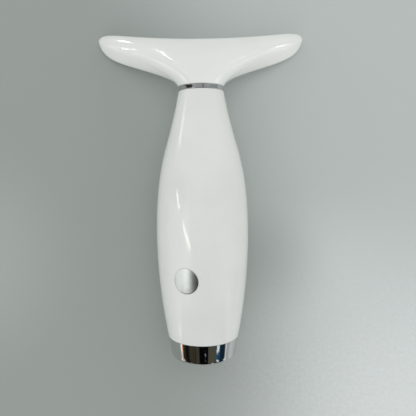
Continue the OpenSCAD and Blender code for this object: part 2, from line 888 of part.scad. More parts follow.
// Light sources in the middle of the flex, along both long sides
module head_leds() {
    made("lemonchiffon")
        in_face()
            for (i = [0:head_led_count - 1])
                for (sign = [-1, 1]) {
                    across = lerp(-led_half_w, led_half_w, i / (head_led_count - 1));
                    v = abs(across) / face_half_w;
                    middle = flex_inset + flex_w / 2;
                    up = sign > 0 ? edge_top(v) - middle : edge_low(v) + middle;
                    on_face(across, up, flex_at - film_gap - led_h)
                        translate([-led_w / 2, -led_l / 2, 0])
                            cube([led_w, led_l, led_h]);
                }
}

// Moulded frame behind the plate, with two posts for the head board
module plate_carrier() {
    made("white")
        in_face()
            difference() {
                union() {
                    bent_plate(flat_outline(carrier_inset, carrier_half_w),
                        carrier_at, carrier_at + carrier_t);
                    for (side = [-1, 1])
                        translate([side * head_screw_x, 0, carrier_at + carrier_t / 2])
                            cylinder(r = post_r, h = carrier_t / 2 + post_h, $fn = small);
                }
                for (side = [-1, 1])
                    translate([side * head_screw_x, 0, carrier_at + carrier_t / 2])
                        cylinder(r = pilot_r, h = carrier_t + post_h, $fn = small);
                translate([0, pin_up, 0])
                    cylinder(r = pin_sleeve_r + 3 * fit, h = carrier_at + carrier_t + past, $fn = small);
            }
}

module head_board() {
    made("green")
        in_face()
            difference() {
                box(0, -head_board_h / 2, head_board_at, [head_board_w, head_board_h, head_board_t]);
                for (side = [-1, 1])
                    translate([side * head_screw_x, 0, head_board_at - past])
                        cylinder(r = pilot_r + fit, h = head_board_t + 2 * past, $fn = small);
            }
}

module head_board_screws() {
    made("silver")
        in_face()
            for (side = [-1, 1])
                translate([side * head_screw_x, 0, head_board_at + head_board_t])
                    mirror([0, 0, 1])
                        screw(2 * pilot_r, screw_head_d, screw_head_h, head_board_t + post_h);
}

// Sprung pin that feeds the contact plate
module contact_pin() {
    made("goldenrod")
        in_face()
            translate([0, pin_up, plate_back + film_gap])
                union() {
                    cylinder(r = pin_r, h = pin_len, $fn = small);
                    translate([0, 0, pin_nose])
                        cylinder(r = pin_sleeve_r, h = pin_len - pin_nose, $fn = small);
                }
}

// Button

module button_bezel() {
    hole_r = button_r + slide_fit;
    made("silver")
        difference() {
            intersection() {
                button_column(bezel_r);
                skin(-wall - bezel_tube, bezel_proud, bezel_low, bezel_high, button_steps);
            }
            button_column(hole_r);
            // What the shell fills under the flange
            difference() {
                skin(-2 * wall, film_gap, bezel_low - past, bezel_high + past, button_steps);
                button_column(hole_r + bezel_tube);
            }
        }
}

// Cap, with a flange that keeps it behind the bezel and a stem that meets the switch
module button_cap() {
    made("whitesmoke") {
        intersection() {
            translate([0, button_at, -belly_r - 2])
                rotate([0, 0, 45])
                    cylinder(r = button_r, h = belly_r + 2 - flange_z + flange_t, $fn = fine);
            skin(-belly_r, bezel_proud / 2, bezel_low, bezel_high, button_steps);
        }
        translate([0, button_at, -flange_z]) {
            cylinder(r = flange_r, h = flange_t, $fn = fine);
            cylinder(r = button_stem_r, h = flange_z + plunger_tip - film_gap, $fn = small);
        }
    }
}

module switch_body() {
    made("dimgray")
        difference() {
            box(0, button_at - switch_w / 2, board_front - switch_h, [switch_w, switch_w, switch_h]);
            translate([0, button_at, board_front - switch_h - past])
                cylinder(r = plunger_r + slide_fit, h = past + plunger_in + button_travel + plunger_room,
                    $fn = small);
        }
}

module switch_plunger() {
    made("black")
        translate([0, button_at, plunger_tip])
            cylinder(r = plunger_r, h = plunger_rise + plunger_in, $fn = small);
}

// Strip behind the shell with a pin in each mode window
module mode_light_guide() {
    lens_r = mode_window_d / 2;
    first = window_at - guide_end;
    last = window_at + (mode_count - 1) * window_step + guide_end;
    made("aliceblue") {
        intersection() {
            box(0, first, -belly_r, [guide_w, last - first, belly_r]);
            skin(-wall - guide_t, -wall - fit, first - past, last + past, button_steps + 1);
        }
        for (i = [0:mode_count - 1]) {
            y = window_at + i * window_step;
            translate([0, y, -handle_r(y + lens_r)])
                rotate([0, 0, 45])
                    cylinder(r = lens_r, h = wall + guide_t / 2, $fn = small);
        }
    }
}

module mode_leds() {
    made("lemonchiffon")
        for (i = [0:mode_count - 1])
            box(0, window_at + i * window_step - mode_led_l / 2, board_front - mode_led_h,
                [mode_led_w, mode_led_l, mode_led_h]);
}

// Boards

module board_outline() {
    polygon([
        [-board_half_w, board_at], [board_half_w, board_at], [board_half_w, board_taper_at],
        [board_half_w - board_taper_w, board_end], [-board_half_w + board_taper_w, board_end],
        [-board_half_w, board_taper_at]
    ]);
}

module main_board() {
    made("darkgreen")
        translate([0, 0, board_front])
            difference() {
                linear_extrude(height = board_t)
                    board_outline();
                for (at = board_screw_places)
                    translate([at[0], at[1], -past])
                        cylinder(r = pilot_r + fit, h = board_t + 2 * past, $fn = small);
            }
}

module controller_chip() {
    made("black")
        box(0, chip_at, board_front - chip_h, [chip_w, chip_w, chip_h]);
}

// Pulse transformer, round capacitor and two coils
module board_parts() {
    made("slategray") {
        box(transformer_at[0], transformer_at[1], board_front - transformer_size[2], transformer_size);
        translate([capacitor_at[0], capacitor_at[1], board_front - capacitor_h])
            cylinder(r = capacitor_r, h = capacitor_h, $fn = small);
        for (side = [-1, 1])
            box(side * coil_at[0], coil_at[1], board_front - coil_size[2], coil_size);
    }
}

module connector_box(at, low, len, height) {
    y0 = at[2] > 0 ? at[1] + low : at[1] - low - len;
    box(at[0], y0, board_front - height, [at[3] * way_pitch + header_end, len, height]);
}

module board_headers() {
    made("ivory")
        for (at = connectors)
            connector_box(at, -header_l, header_l, header_h);
}

module wire_plugs() {
    made("white")
        for (at = connectors)
            connector_box(at, 0, plug_l, plug_h);
}

module board_screws() {
    made("silver")
        for (at = board_screw_places)
            translate([at[0], at[1], board_front])
                screw(2 * pilot_r, screw_head_d, screw_head_h, board_t + chassis_gap + chassis_t - 2 * fit);
}

// Chassis

module chassis() {
    made("gray")
        difference() {
            union() {
                translate([0, 0, chassis_front])
                    linear_extrude(height = chassis_t)
                        union() {
                            polygon([
                                [-chassis_half_w, chassis_at], [chassis_half_w, chassis_at],
                                [chassis_half_w, board_taper_at], [chassis_end_w, chassis_end],
                                [-chassis_end_w, chassis_end], [-chassis_half_w, board_taper_at]
                            ]);
                            for (side = [-1, 1])
                                for (y = boss_ys)
                                    translate([side * boss_x, y])
                                        circle(r = boss_r + 5 * fit, $fn = small);
                        }
                for (at = board_screw_places)
                    translate([at[0], at[1], board_back])
                        cylinder(r = standoff_r, h = chassis_gap + chassis_t / 2, $fn = small);
                for (y = cell_saddles)
                    box(0, y, chassis_back, [cell_saddle_w, saddle_t, saddle_top - chassis_back]);
                for (y = motor_saddles)
                    box(0, y, chassis_back, [motor_saddle_w, motor_saddle_t, saddle_top - chassis_back]);
                for (side = [-1, 1])
                    translate([side * clip_post_x, clip_at, chassis_back])
                        cylinder(r = clip_post_r, h = saddle_top - chassis_back, $fn = small);
            }
            translate([0, 0, cell_z])
                along_y(cell_at - past)
                    cylinder(r = cell_d / 2 + fit, h = cell_len + 2 * past, $fn = fine);
            along_y(motor_at - motor_cap_t)
                cylinder(r = motor_r + fit, h = motor_len + 2 * motor_cap_t, $fn = fine);
            for (side = [-1, 1]) {
                for (y = boss_ys)
                    translate([side * boss_x, y, chassis_front - past])
                        cylinder(r = pilot_r + fit, h = chassis_t + 2 * past, $fn = small);
                translate([side * clip_post_x, clip_at, chassis_back + past])
                    cylinder(r = pilot_r, h = saddle_top - chassis_back, $fn = small);
            }
            for (at = board_screw_places)
                translate([at[0], at[1], board_back - past])
                    cylinder(r = pilot_r, h = chassis_gap + chassis_t + 2 * past, $fn = small);
        }
}

module chassis_screws() {
    made("silver")
        for (side = [-1, 1])
            for (y = boss_ys)
                translate([side * boss_x, y, chassis_front])
                    screw(2 * pilot_r, screw_head_d, screw_head_h, chassis_t + boss_bite);
}

// Battery

module battery_cell() {
    made("royalblue")
        translate([0, 0, cell_z])
            along_y(cell_at)
                cylinder(r = cell_d / 2, h = cell_len, $fn = fine);
}

module battery_washers() {
    made("ivory")
        translate([0, 0, cell_z])
            for (y = [cell_at - washer_t, cell_at + cell_len])
                along_y(y)
                    difference() {
                        cylinder(r = cell_d / 2, h = washer_t, $fn = fine);
                        translate([0, 0, -past])
                            cylinder(r = washer_bore_r, h = washer_t + 2 * past, $fn = small);
                    }
}

module battery_tabs() {
    made("silver") {
        box(-1, cell_at - washer_t - tab_t, cell_z - tab_w / 2 - tab_shift, [tab_w, tab_t, tab_w]);
        box(-1, cell_at + cell_len + washer_t, cell_z - tab_w / 2 + tab_shift, [tab_w, tab_t, tab_w]);
    }
}

// Foam block between the battery and the rear shell
module battery_pad() {
    low = cell_z + cell_d / 2 + film_gap;
    shell_r = handle_r(pad_at) - wall;
    top = sqrt(shell_r ^ 2 - pad_half_w ^ 2) - 2 * fit;
    made("dimgray")
        box(0, pad_at, low, [2 * pad_half_w, pad_len, top - low]);
}

// Foot

// Inner plate that holds the charge board on two rails
module end_plate() {
    made("white")
        difference() {
            union() {
                along_y(cap_floor + fit)
                    cylinder(r = cap_bore_d / 2 - 2 * fit, h = end_plate_t, $fn = fine);
                for (side = [-1, 1])
                    box(side * rail_x, cap_floor + end_plate_t, charge_top - charge_t - rail_lip,
                        [rail_w, rail_len, charge_t + 2 * rail_lip]);
            }
            along_y(cap_floor)
                slot(usb_w + usb_play, usb_h + usb_play, end_plate_t + 2 * past);
            box(0, charge_at - 2 * fit, charge_top - charge_t - film_gap,
                [charge_w + 2 * film_gap, charge_end, charge_t + 2 * film_gap]);
        }
}

module charge_board() {
    made("darkgreen")
        box(0, charge_at, charge_top - charge_t, [charge_w, charge_end - charge_at, charge_t]);
}

module charge_parts() {
    made("black") {
        box(-2, 12, charge_top, charge_chip_size);
        box(2.6, 12.5, charge_top, charge_diode_size);
    }
}

module usb_shell() {
    made("silver")
        along_y(usb_at)
            difference() {
                slot(usb_w, usb_h, usb_len);
                translate([0, 0, -past])
                    slot(usb_w - 2 * usb_wall, usb_h - 2 * usb_wall, past + usb_len - usb_wall);
            }
}

module usb_tongue() {
    base_h = usb_h - 2 * usb_wall - 2 * film_gap;
    base_at = usb_at + usb_len - usb_wall - 2 * fit - tongue_base_l;
    made("black") {
        box(0, usb_at + tongue_inset, -tongue_t / 2,
            [tongue_w, base_at - usb_at - tongue_inset + past, tongue_t]);
        box(0, base_at, -base_h / 2, [usb_w - usb_h, tongue_base_l, base_h]);
    }
}

// Motor

module motor_can() {
    made("silver")
        along_y(motor_at)
            difference() {
                cylinder(r = motor_r, h = motor_len, $fn = fine);
                translate([0, 0, -past])
                    cylinder(r = motor_r - motor_wall, h = past + motor_len - motor_wall, $fn = fine);
                cylinder(r = bush_r, h = motor_len + past, $fn = small);
            }
}

module motor_cap() {
    made("white")
        along_y(motor_at - motor_cap_t)
            difference() {
                union() {
                    cylinder(r = motor_r, h = motor_cap_t, $fn = fine);
                    cylinder(r = motor_r - motor_wall - fit, h = motor_cap_t + motor_spigot, $fn = fine);
                }
                translate([0, 0, -past])
                    cylinder(r = bush_r, h = motor_cap_t + motor_spigot + 2 * past, $fn = small);
            }
}

module motor_magnets() {
    made("darkslategray")
        along_y(magnet_at)
            for (turn = [0, 180])
                rotate([0, 0, turn + (180 - magnet_arc) / 2])
                    rotate_extrude(angle = magnet_arc, $fn = fine)
                        translate([magnet_r, 0])
                            square([magnet_t, magnet_len]);
}

module motor_bushes() {
    made("goldenrod")
        for (y = [motor_at - motor_cap_t + 2 * fit, motor_at + motor_len - bush_t])
            along_y(y)
                difference() {
                    cylinder(r = bush_r, h = bush_t, $fn = small);
                    translate([0, 0, -past])
                        cylinder(r = shaft_r + shaft_play, h = bush_t + 2 * past, $fn = small);
                }
}

// Shaft, three-pole armature and commutator
module motor_rotor() {
    made("peru")
        union() {
            along_y(shaft_at)
                cylinder(r = shaft_r, h = weight_at + weight_len + 3 * fit - shaft_at, $fn = small);
            along_y(commutator_at)
                cylinder(r = commutator_r, h = commutator_len, $fn = small);
            along_y(core_at)
                difference() {
                    cylinder(r = core_r, h = core_len, $fn = fine);
                    for (i = [0:core_slots - 1])
                        rotate([0, 0, i * 360 / core_slots])
                            translate([commutator_r, -core_slot_w / 2, -past])
                                cube([core_r, core_slot_w, core_len + 2 * past]);
                }
        }
}

module motor_weight() {
    made("darkgray")
        along_y(weight_at)
            difference() {
                union() {
                    rotate_extrude(angle = 180, $fn = fine)
                        square([weight_r, weight_len]);
                    cylinder(r = hub_r, h = weight_len, $fn = small);
                }
                translate([0, 0, -past])
                    cylinder(r = shaft_r, h = weight_len + 2 * past, $fn = small);
            }
}

// Spring strap over the motor
module motor_clip() {
    inner = motor_r + film_gap;
    made("silver")
        difference() {
            union() {
                along_y(clip_at - clip_w / 2)
                    rotate([0, 0, 180])
                        rotate_extrude(angle = 180, $fn = fine)
                            translate([inner, 0])
                                square([clip_t, clip_w]);
                for (side = [-1, 1]) {
                    box(side * (inner + clip_t / 2), clip_at - clip_w / 2, saddle_top,
                        [clip_t, clip_w, -saddle_top]);
                    box(side * (inner + clip_foot_w / 2), clip_at - clip_w / 2, saddle_top,
                        [clip_foot_w, clip_w, clip_t]);
                }
            }
            for (side = [-1, 1])
                translate([side * clip_post_x, clip_at, saddle_top - past])
                    cylinder(r = pilot_r + fit, h = clip_t + 2 * past, $fn = small);
        }
}

module clip_screws() {
    made("silver")
        for (side = [-1, 1])
            translate([side * clip_post_x, clip_at, saddle_top + clip_t])
                mirror([0, 0, 1])
                    screw(2 * pilot_r, screw_head_d, screw_head_h, clip_screw_len);
}

// Wires

module battery_wires() {
    made("red") {
        wire(cell_route_plus);
        wire(cell_route_minus);
    }
}

module motor_wires() {
    made("orange") {
        wire(motor_route_a);
        wire(motor_route_b);
    }
}

module head_harness() {
    board_back_at = head_board_at + head_board_t;
    function face_place(depth) = [0, face_y - depth * sin(face_tilt), face_z + depth * cos(face_tilt)];
    route = concat(harness_route, [face_place(board_back_at + 5.5), face_place(board_back_at + 2.5),
        face_place(board_back_at)]);
    made("gold")
        for (i = [-1.5:1:1.5])
            wire(shifted(route, [i * way_pitch, 0, 0]));
}

module charge_wires() {
    made("red")
        for (side = [-0.5, 0.5])
            wire(shifted(charge_route, [side * way_pitch, 0, 0]));
}

rear_handle_shell();
front_handle_shell();
neck_ring();
bottom_cap();
label_disc();
rear_head_shell();
light_window();
contact_plate();
heater_film();
thermistor();
led_flex();
head_leds();
plate_carrier();
head_board();
head_board_screws();
contact_pin();
button_bezel();
button_cap();
switch_body();
switch_plunger();
mode_light_guide();
mode_leds();
main_board();
controller_chip();
board_parts();
board_headers();
wire_plugs();
board_screws();
chassis();
chassis_screws();
battery_cell();
battery_washers();
battery_tabs();
battery_pad();
end_plate();
charge_board();
charge_parts();
usb_shell();
usb_tongue();
motor_can();
motor_cap();
motor_magnets();
motor_bushes();
motor_rotor();
motor_weight();
motor_clip();
clip_screws();
battery_wires();
motor_wires();
head_harness();
charge_wires();
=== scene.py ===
"""Facial and neck massager, lying face down: its finished pieces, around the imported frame.

Blender works in metres, with X across the head, Y from the foot to the head and +Z through the back.
The shape functions work in millimetres in the handle's own frame, with y = 0 at the foot and z = 0 on
the handle's axis, and placed() sets a point of it down in the row frame.
"""
import json
from math import asin, cos, hypot, pi, radians, sin, sqrt, tau

import bmesh
import bpy
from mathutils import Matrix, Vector

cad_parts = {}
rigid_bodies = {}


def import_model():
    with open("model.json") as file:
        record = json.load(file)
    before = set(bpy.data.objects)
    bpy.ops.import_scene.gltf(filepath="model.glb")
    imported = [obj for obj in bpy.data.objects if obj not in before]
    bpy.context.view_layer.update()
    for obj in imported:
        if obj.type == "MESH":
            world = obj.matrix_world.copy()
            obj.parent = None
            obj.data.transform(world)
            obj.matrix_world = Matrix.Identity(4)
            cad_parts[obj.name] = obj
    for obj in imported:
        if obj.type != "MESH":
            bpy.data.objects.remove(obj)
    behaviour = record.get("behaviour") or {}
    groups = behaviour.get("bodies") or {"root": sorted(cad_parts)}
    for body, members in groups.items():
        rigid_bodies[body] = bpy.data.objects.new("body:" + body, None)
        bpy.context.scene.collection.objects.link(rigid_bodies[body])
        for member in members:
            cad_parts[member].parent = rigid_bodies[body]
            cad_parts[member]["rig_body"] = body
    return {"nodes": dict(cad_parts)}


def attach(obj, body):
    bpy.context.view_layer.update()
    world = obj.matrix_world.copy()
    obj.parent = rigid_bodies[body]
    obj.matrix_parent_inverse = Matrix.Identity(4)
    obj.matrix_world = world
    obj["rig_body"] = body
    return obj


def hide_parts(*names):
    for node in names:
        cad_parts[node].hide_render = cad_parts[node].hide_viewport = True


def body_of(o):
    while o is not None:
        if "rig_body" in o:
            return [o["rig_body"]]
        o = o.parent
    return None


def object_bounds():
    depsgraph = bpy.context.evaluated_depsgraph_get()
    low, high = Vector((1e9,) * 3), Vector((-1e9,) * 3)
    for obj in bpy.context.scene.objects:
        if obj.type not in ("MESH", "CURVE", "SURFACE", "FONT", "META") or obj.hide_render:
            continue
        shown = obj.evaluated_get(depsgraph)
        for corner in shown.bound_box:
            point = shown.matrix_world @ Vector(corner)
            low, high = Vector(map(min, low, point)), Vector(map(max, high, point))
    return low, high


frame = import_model()
cad_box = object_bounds()

MM = 0.001

# Handle, in millimetres
HANDLE_LEN = 131.5
BELLY_R = 22.95
CAP_H = 10.0
# Distance from the foot, radius, and how fast the radius grows
STATIONS = [(CAP_H, 17.6, 0.2), (62.5, BELLY_R, 0.0), (104.0, 17.95, -0.285), (HANDLE_LEN, 11.45, -0.17)]
WALL, SEAM_ROUND = 2.0, 0.18
SPIGOT_R, SPIGOT_AT, SPIGOT_WALL = 14.6, 4.0, 1.8
SHOULDER_H = 3.0
RIB_R, RIB_AT = 8.6, 117.75
FIT = 0.1

# Foot cap
FOOT_R, FOOT_ROUND = 16.15, 1.6
CAP_TOP_R, CAP_LIP = 17.65, 0.15
CAP_FLOOR, CAP_FLOOR_R, CAP_BORE_R = 2.0, 9, 14.7
FOOT_RINGS = (8.5, 11.5)
SOCKET_W, SOCKET_H, SOCKET_CHAMFER = 9.5, 3.7, 0.35

# Neck
RING_H, RING_R, RING_BORE_R, RING_EDGE = 2.6, 11.6, 9.7, 0.25
NECK_TOP = HANDLE_LEN + RING_H
NECK_SPIGOT_R = 9.6
STEM_R, STEM_BORE_R, STEM_END = 7.9, 6.4, NECK_TOP - 14
COLLAR_R, COLLAR_H, COLLAR_PLAY = 9.4, 2.0, 0.15

# Head
HEAD_R = 11.5
HEAD_WALL, RIM_WALL, RIM_ROUND = 1.8, 1.2, 0.9
FACE_RADIUS, FACE_HALF_W, FACE_TILT = 102.5, 58.0, radians(24)
TILT_SIN, TILT_COS = sin(FACE_TILT), cos(FACE_TILT)
FACE_Y = NECK_TOP + 17.9
MID_TOP, TIP_TOP = 9.5, 10.9
MID_LOW, TIP_LOW = 12.0, 1.5
POINT_SOFT, TIP_SKEW = 0.23, 0.34
CORNER_TOP, CORNER_LOW = 10, 14
NECK_REACH, FRONT_REACH, NECK_FLARE = 32.0, 13.5, 0.32
TIP_REACH, EDGE_REACH, LOW_REACH = 32.0, 16.0, 3.2

# Contact face: how far in from the rim each edge lies, and depths behind the face
LIP_INSET = 1.8
WINDOW_INSET, WINDOW_EDGE, WINDOW_T = 1.85, 0.2, 1.4
PLATE_EDGE_INSET, PLATE_INSET, LEDGE_INSET = 3.95, 4.05, 5.15
PLATE_PROUD, PLATE_BACK, PLATE_EDGE, PLATE_ROWS = 0.45, 0.55, 0.35, 12

# Button and mode windows
BUTTON_AT, BUTTON_R, BUTTON_PROUD, BUTTON_EDGE, BUTTON_DISH = 84.0, 5.5, 0.2, 0.45, 0.55
BEZEL_BORE_R, BEZEL_TUBE_R, BEZEL_R, BEZEL_PROUD = 5.58, 6.08, 6.93, 0.4
BUTTON_HOLE_R = 6.13
FLANGE_R, FLANGE_T, FLANGE_GAP = 6.4, 1.0, 0.6
BUTTON_STEM_R = 1.4
WINDOW_AT, WINDOW_STEP, MODE_COUNT = 96.0, 4.5, 3
LENS_R, LENS_HOLE_R, LENS_DOME, LENS_EDGE = 1.1, 1.15, 0.12, 0.18
GUIDE_W, GUIDE_T, GUIDE_END = 4.0, 1.2, 2.5
# How far the bezel's tube and the lens pins reach past the wall
TUBE_PAST = 0.5

# Bosses inside the rear shell
BOSS_PLACES = [(side * 13.8, y) for side in (-1, 1) for y in (40.0, 74.0)]
BOSS_R, BOSS_FOOT = 2.3, -6.6
PILOT_R, PILOT_DEEP = 0.8, 8.0

# Boards and what they carry
BOARD_FRONT = -10.0
SWITCH_W, SWITCH_H = 6.0, 3.5
PLUNGER_HOLE_R, PLUNGER_RISE, PLUNGER_GAP = 1.7, 1.5, 0.05
STAKE_R, STAKE_AT = 0.42, 2.3
CHIP_AT, CHIP_W, CHIP_H, CHIP_REACH = (0, 58.5), 7.0, 1.0, 0.65
TRANSFORMER_AT, TRANSFORMER = (5, 44), (8.0, 8.0, 6.0)
CAPACITOR_AT, CAPACITOR_R, CAPACITOR_H = (-5, 44), 3.2, 3.2
COIL_PLACES, COIL, COIL_END = [(-7, 65.6), (7, 65.6)], (2.0, 3.2, 1.4), 0.7
MODE_LED, MODE_LED_CROWN = (0.8, 1.6, 0.8), 0.38
CHARGE_FACE = -1.65
CHARGE_CHIP_AT, CHARGE_CHIP = (-2, 14), (3.8, 4.0, 1.2)
DIODE_AT, DIODE = (2.6, 14), (1.6, 2.3, 1.0)
TONGUE_T, TONGUE_AT = 0.7, 1.7
CONTACTS, CONTACT_STEP, CONTACT, CONTACT_MIDDLE = 12, 0.5, (0.28, 3.4), 2.2

# Screws
SCREW_HEAD_R, SCREW_HEAD_H = 1.5, 1.0
SCREW_CORE_R, THREAD, PITCH, FLANK = 0.6, 0.2, 0.6, 0.28
TIP_LEN, TIP_BLUNT = 0.9, 0.12
RECESS_LEN, RECESS_W, RECESS_DEEP, RECESS_WAY = 1.9, 0.38, 0.6, (1, 0.35, 0)
BOARD_SCREWS = [(side * 9.1, y, BOARD_FRONT) for side in (-1, 1) for y in (36.0, 74.0)]
CHASSIS_SCREWS = [(x, y, -8.4) for x, y in BOSS_PLACES]
CLIP_SCREWS = [(side * 8.9, 100.5, -0.4) for side in (-1, 1)]
HEAD_SCREWS_X, HEAD_SCREWS_DEPTH = 7.0, 7.15

# Lights of the head
HEAD_LEDS, HEAD_LED_HALF = 9, 43.0
HEAD_LED, HEAD_LED_CROWN = (2.0, 1.2, 0.85), 0.3
HEAD_LED_INSET, HEAD_LED_DEPTH = 5.1, 2.3

# Battery and motor
CELL_R, CELL_AT, CELL_LEN, CELL_Z = 9.2, 22.0, 65.0, 3.8
SHAFT_R, SHAFT_AT, SHAFT_END = 0.75, 90.4, 114.7
COMMUTATOR_R, COMMUTATOR_AT, COMMUTATOR_LEN = 1.5, 92.8, 2.0
CORE_R, CORE_AT, CORE_LEN, POLES = 3.75, 95.2, 7.6, 3
POLE_NECK, POLE_ROOT_R, POLE_BACK_R, POLE_GAP = 1.05, 1.6, CORE_R - 0.95, 0.35
POLE_TURNS = [pi / 2 + i * tau / POLES for i in range(POLES)]
COIL_R, COIL_W, COIL_PAST = 1.85, 2.7, 0.7
COIL_TURNS, COIL_STEP, COIL_WIRE_R = 5, 0.23, 0.13

# Foil disc
DISC_R, DISC_AT, DISC_TURN = 6.0, 41.0, radians(21)
DISC_GLUE, DISC_T, DISC_EDGE = 0.02, 0.15, 0.06

# Smoothness, and the radius at which round ends close
TURN_STEPS, HEAD_STEPS, RISE_STEPS, HOLLOW_STEPS = 192, 320, 72, 24
MIDDLE = 0.03

FOOT_Y = cad_box[0][1] / MM
AXIS_Z = BELLY_R


def placed(p):
    """A point of the handle's own frame in millimetres, as a point of the row frame in metres."""
    return Vector((p[0] * MM, (p[1] + FOOT_Y) * MM, (p[2] + AXIS_Z) * MM))


# Shape functions

def lerp(a, b, t):
    return a + (b - a) * t


def steps(start, end, count):
    """count + 1 evenly spaced values from start to end."""
    return [lerp(start, end, i / count) for i in range(count + 1)]


def hermite(p, dp, q, dq, t):
    return ((2 * t**3 - 3 * t**2 + 1) * p + (t**3 - 2 * t**2 + t) * dp
            + (3 * t**2 - 2 * t**3) * q + (t**3 - t**2) * dq)


def handle_r(y):
    """Radius of the handle at a distance from the foot."""
    spans = list(zip(STATIONS, STATIONS[1:]))
    (y0, r0, rise0), (y1, r1, rise1) = next((s for s in spans if y <= s[1][0]), spans[-1])
    h = y1 - y0
    return hermite(r0, rise0 * h, r1, rise1 * h, (y - y0) / h)


def handle_normal(x, y, z):
    slope = (handle_r(y + 0.1) - handle_r(y - 0.1)) / 0.2
    r = hypot(x, z)
    return Vector((x / r, -slope, z / r)).normalized()


def edge_top(v):
    return MID_TOP + (TIP_TOP - MID_TOP) * v * v


def edge_low(v):
    point = (hypot(v, POINT_SOFT) - POINT_SOFT) / (hypot(1, POINT_SOFT) - POINT_SOFT)
    return lerp(-MID_LOW, -TIP_LOW, point)


def face_outline(turn, inset=0.0):
    """The face's outline at an angle: distance across along its curve, and height."""
    end = FACE_HALF_W - inset
    share = min(abs(cos(turn)), 1.0)
    v, v_end = share * end / FACE_HALF_W, end / FACE_HALF_W
    top, low = edge_top(v) - inset, edge_low(v) + inset
    tip = lerp(edge_low(v_end) + inset, edge_top(v_end) - inset, 0.5 + TIP_SKEW / 2)
    if sin(turn) >= 0:
        return end * cos(turn), tip + (top - tip) * sqrt(1 - share**CORNER_TOP)
    return end * cos(turn), tip - (tip - low) * sqrt(1 - share**CORNER_LOW)


def face_drop():
    """How far the rim's lowest point lies under the face's centre, on the CAD's own rim points."""
    cad_steps = 80
    drops = []
    for i in range(cad_steps):
        for inset, depth in ((0, RIM_ROUND), (0.3 * RIM_ROUND, 0.3 * RIM_ROUND), (RIM_ROUND, 0)):
            across, up = face_outline(i * tau / cad_steps, inset)
            fall = FACE_RADIUS - (FACE_RADIUS + depth) * cos(across / FACE_RADIUS)
            drops.append(up * TILT_SIN - fall * TILT_COS)
    return min(drops)


FACE_Z = -BELLY_R - face_drop()


def face_point(at, depth=0.0):
    turn, r = at[0] / FACE_RADIUS, FACE_RADIUS + depth
    fall = FACE_RADIUS - r * cos(turn)
    return Vector((r * sin(turn),
                   FACE_Y + at[1] * TILT_COS + fall * TILT_SIN,
                   FACE_Z + at[1] * TILT_SIN - fall * TILT_COS))


def plate_point(at, depth=0.0):
    """As face_point, but straight behind the face instead of square to its curve."""
    sine = FACE_RADIUS * sin(at[0] / FACE_RADIUS) / (FACE_RADIUS + depth)
    return face_point((FACE_RADIUS * asin(sine), at[1]), depth)


def face_out(across):
    turn = across / FACE_RADIUS
    return Vector((-sin(turn), cos(turn) * TILT_SIN, -cos(turn) * TILT_COS))


def head_skin(turn, t):
    """The head's outside: t = 0 on the neck circle, t = 1 on the rim."""
    at = face_outline(turn)
    back, front = max(sin(turn), 0.0), max(-sin(turn), 0.0)
    leave = lerp(NECK_REACH, FRONT_REACH, front)
    arrive = TIP_REACH + (EDGE_REACH - TIP_REACH) * back + (LOW_REACH - TIP_REACH) * front
    start = Vector((HEAD_R * cos(turn), NECK_TOP, HEAD_R * sin(turn)))
    way = Vector((NECK_FLARE * cos(turn), 1.0, 0.0)).normalized()
    return hermite(start, leave * way, face_point(at, RIM_ROUND), arrive * face_out(at[0]), t)


def head_hollow(turn, t):
    """The inside of the head's skin, one wall further in."""
    da, dt = radians(0.5), 0.004
    along = head_skin(turn, min(t + dt, 1.0)) - head_skin(turn, max(t - dt, 0.0))
    around = head_skin(turn + da, t) - head_skin(turn - da, t)
    return head_skin(turn, t) - lerp(HEAD_WALL, RIM_WALL, t) * along.cross(around).normalized()


def arc(centre, radius, from_deg, to_deg, count=6):
    """Points of a round edge in a flat profile."""
    return [(centre[0] + radius * cos(radians(a)), centre[1] + radius * sin(radians(a)))
            for a in steps(from_deg, to_deg, count)]


def full_turn(count):
    return [i * tau / count for i in range(count)]


def about_axis(r, y, count=TURN_STEPS):
    """A circle about the handle's axis."""
    return [(r * cos(a), y, r * sin(a)) for a in full_turn(count)]


def level_ring(r, z, count, centre=(0, 0)):
    """A circle square to Z."""
    return [(centre[0] + r * cos(a), centre[1] + r * sin(a), z) for a in full_turn(count)]


# Mesh tools

def link(name, mesh):
    piece = bpy.data.objects.new(name, mesh)
    bpy.context.scene.collection.objects.link(piece)
    return piece


def smooth(mesh, sharp_deg=35.0):
    """Shades a mesh smooth, with its folds kept sharp."""
    mesh.shade_smooth()
    mesh.set_sharp_from_angle(angle=radians(sharp_deg))


def edited(*meshes):
    """One edit mesh that holds the given meshes."""
    bm = bmesh.new()
    for mesh in meshes:
        bm.from_mesh(mesh)
    return bm


def closed_piece(name, bm, sharp_deg=35.0):
    """The piece that an edit mesh makes."""
    mesh = bpy.data.meshes.new(name)
    bm.to_mesh(mesh)
    bm.free()
    smooth(mesh, sharp_deg)
    return link(name, mesh)


def meshed(name, points, faces, sharp_deg=35.0, place=placed):
    """A piece from points and faces, with its doubles merged and its faces turned outward."""
    rough = bpy.data.meshes.new(name + "_rough")
    rough.from_pydata([place(p) for p in points], [], faces)
    bm = edited(rough)
    bpy.data.meshes.remove(rough)
    bmesh.ops.remove_doubles(bm, verts=bm.verts, dist=1e-6)
    bmesh.ops.recalc_face_normals(bm, faces=bm.faces)
    return closed_piece(name, bm, sharp_deg)


def bands(count, rows, closed=False):
    """The faces between rows of points, round each row."""
    return [(i * count + j, i * count + (j + 1) % count, (i + 1) % rows * count + (j + 1) % count,
             (i + 1) % rows * count + j) for i in range(rows if closed else rows - 1) for j in range(count)]


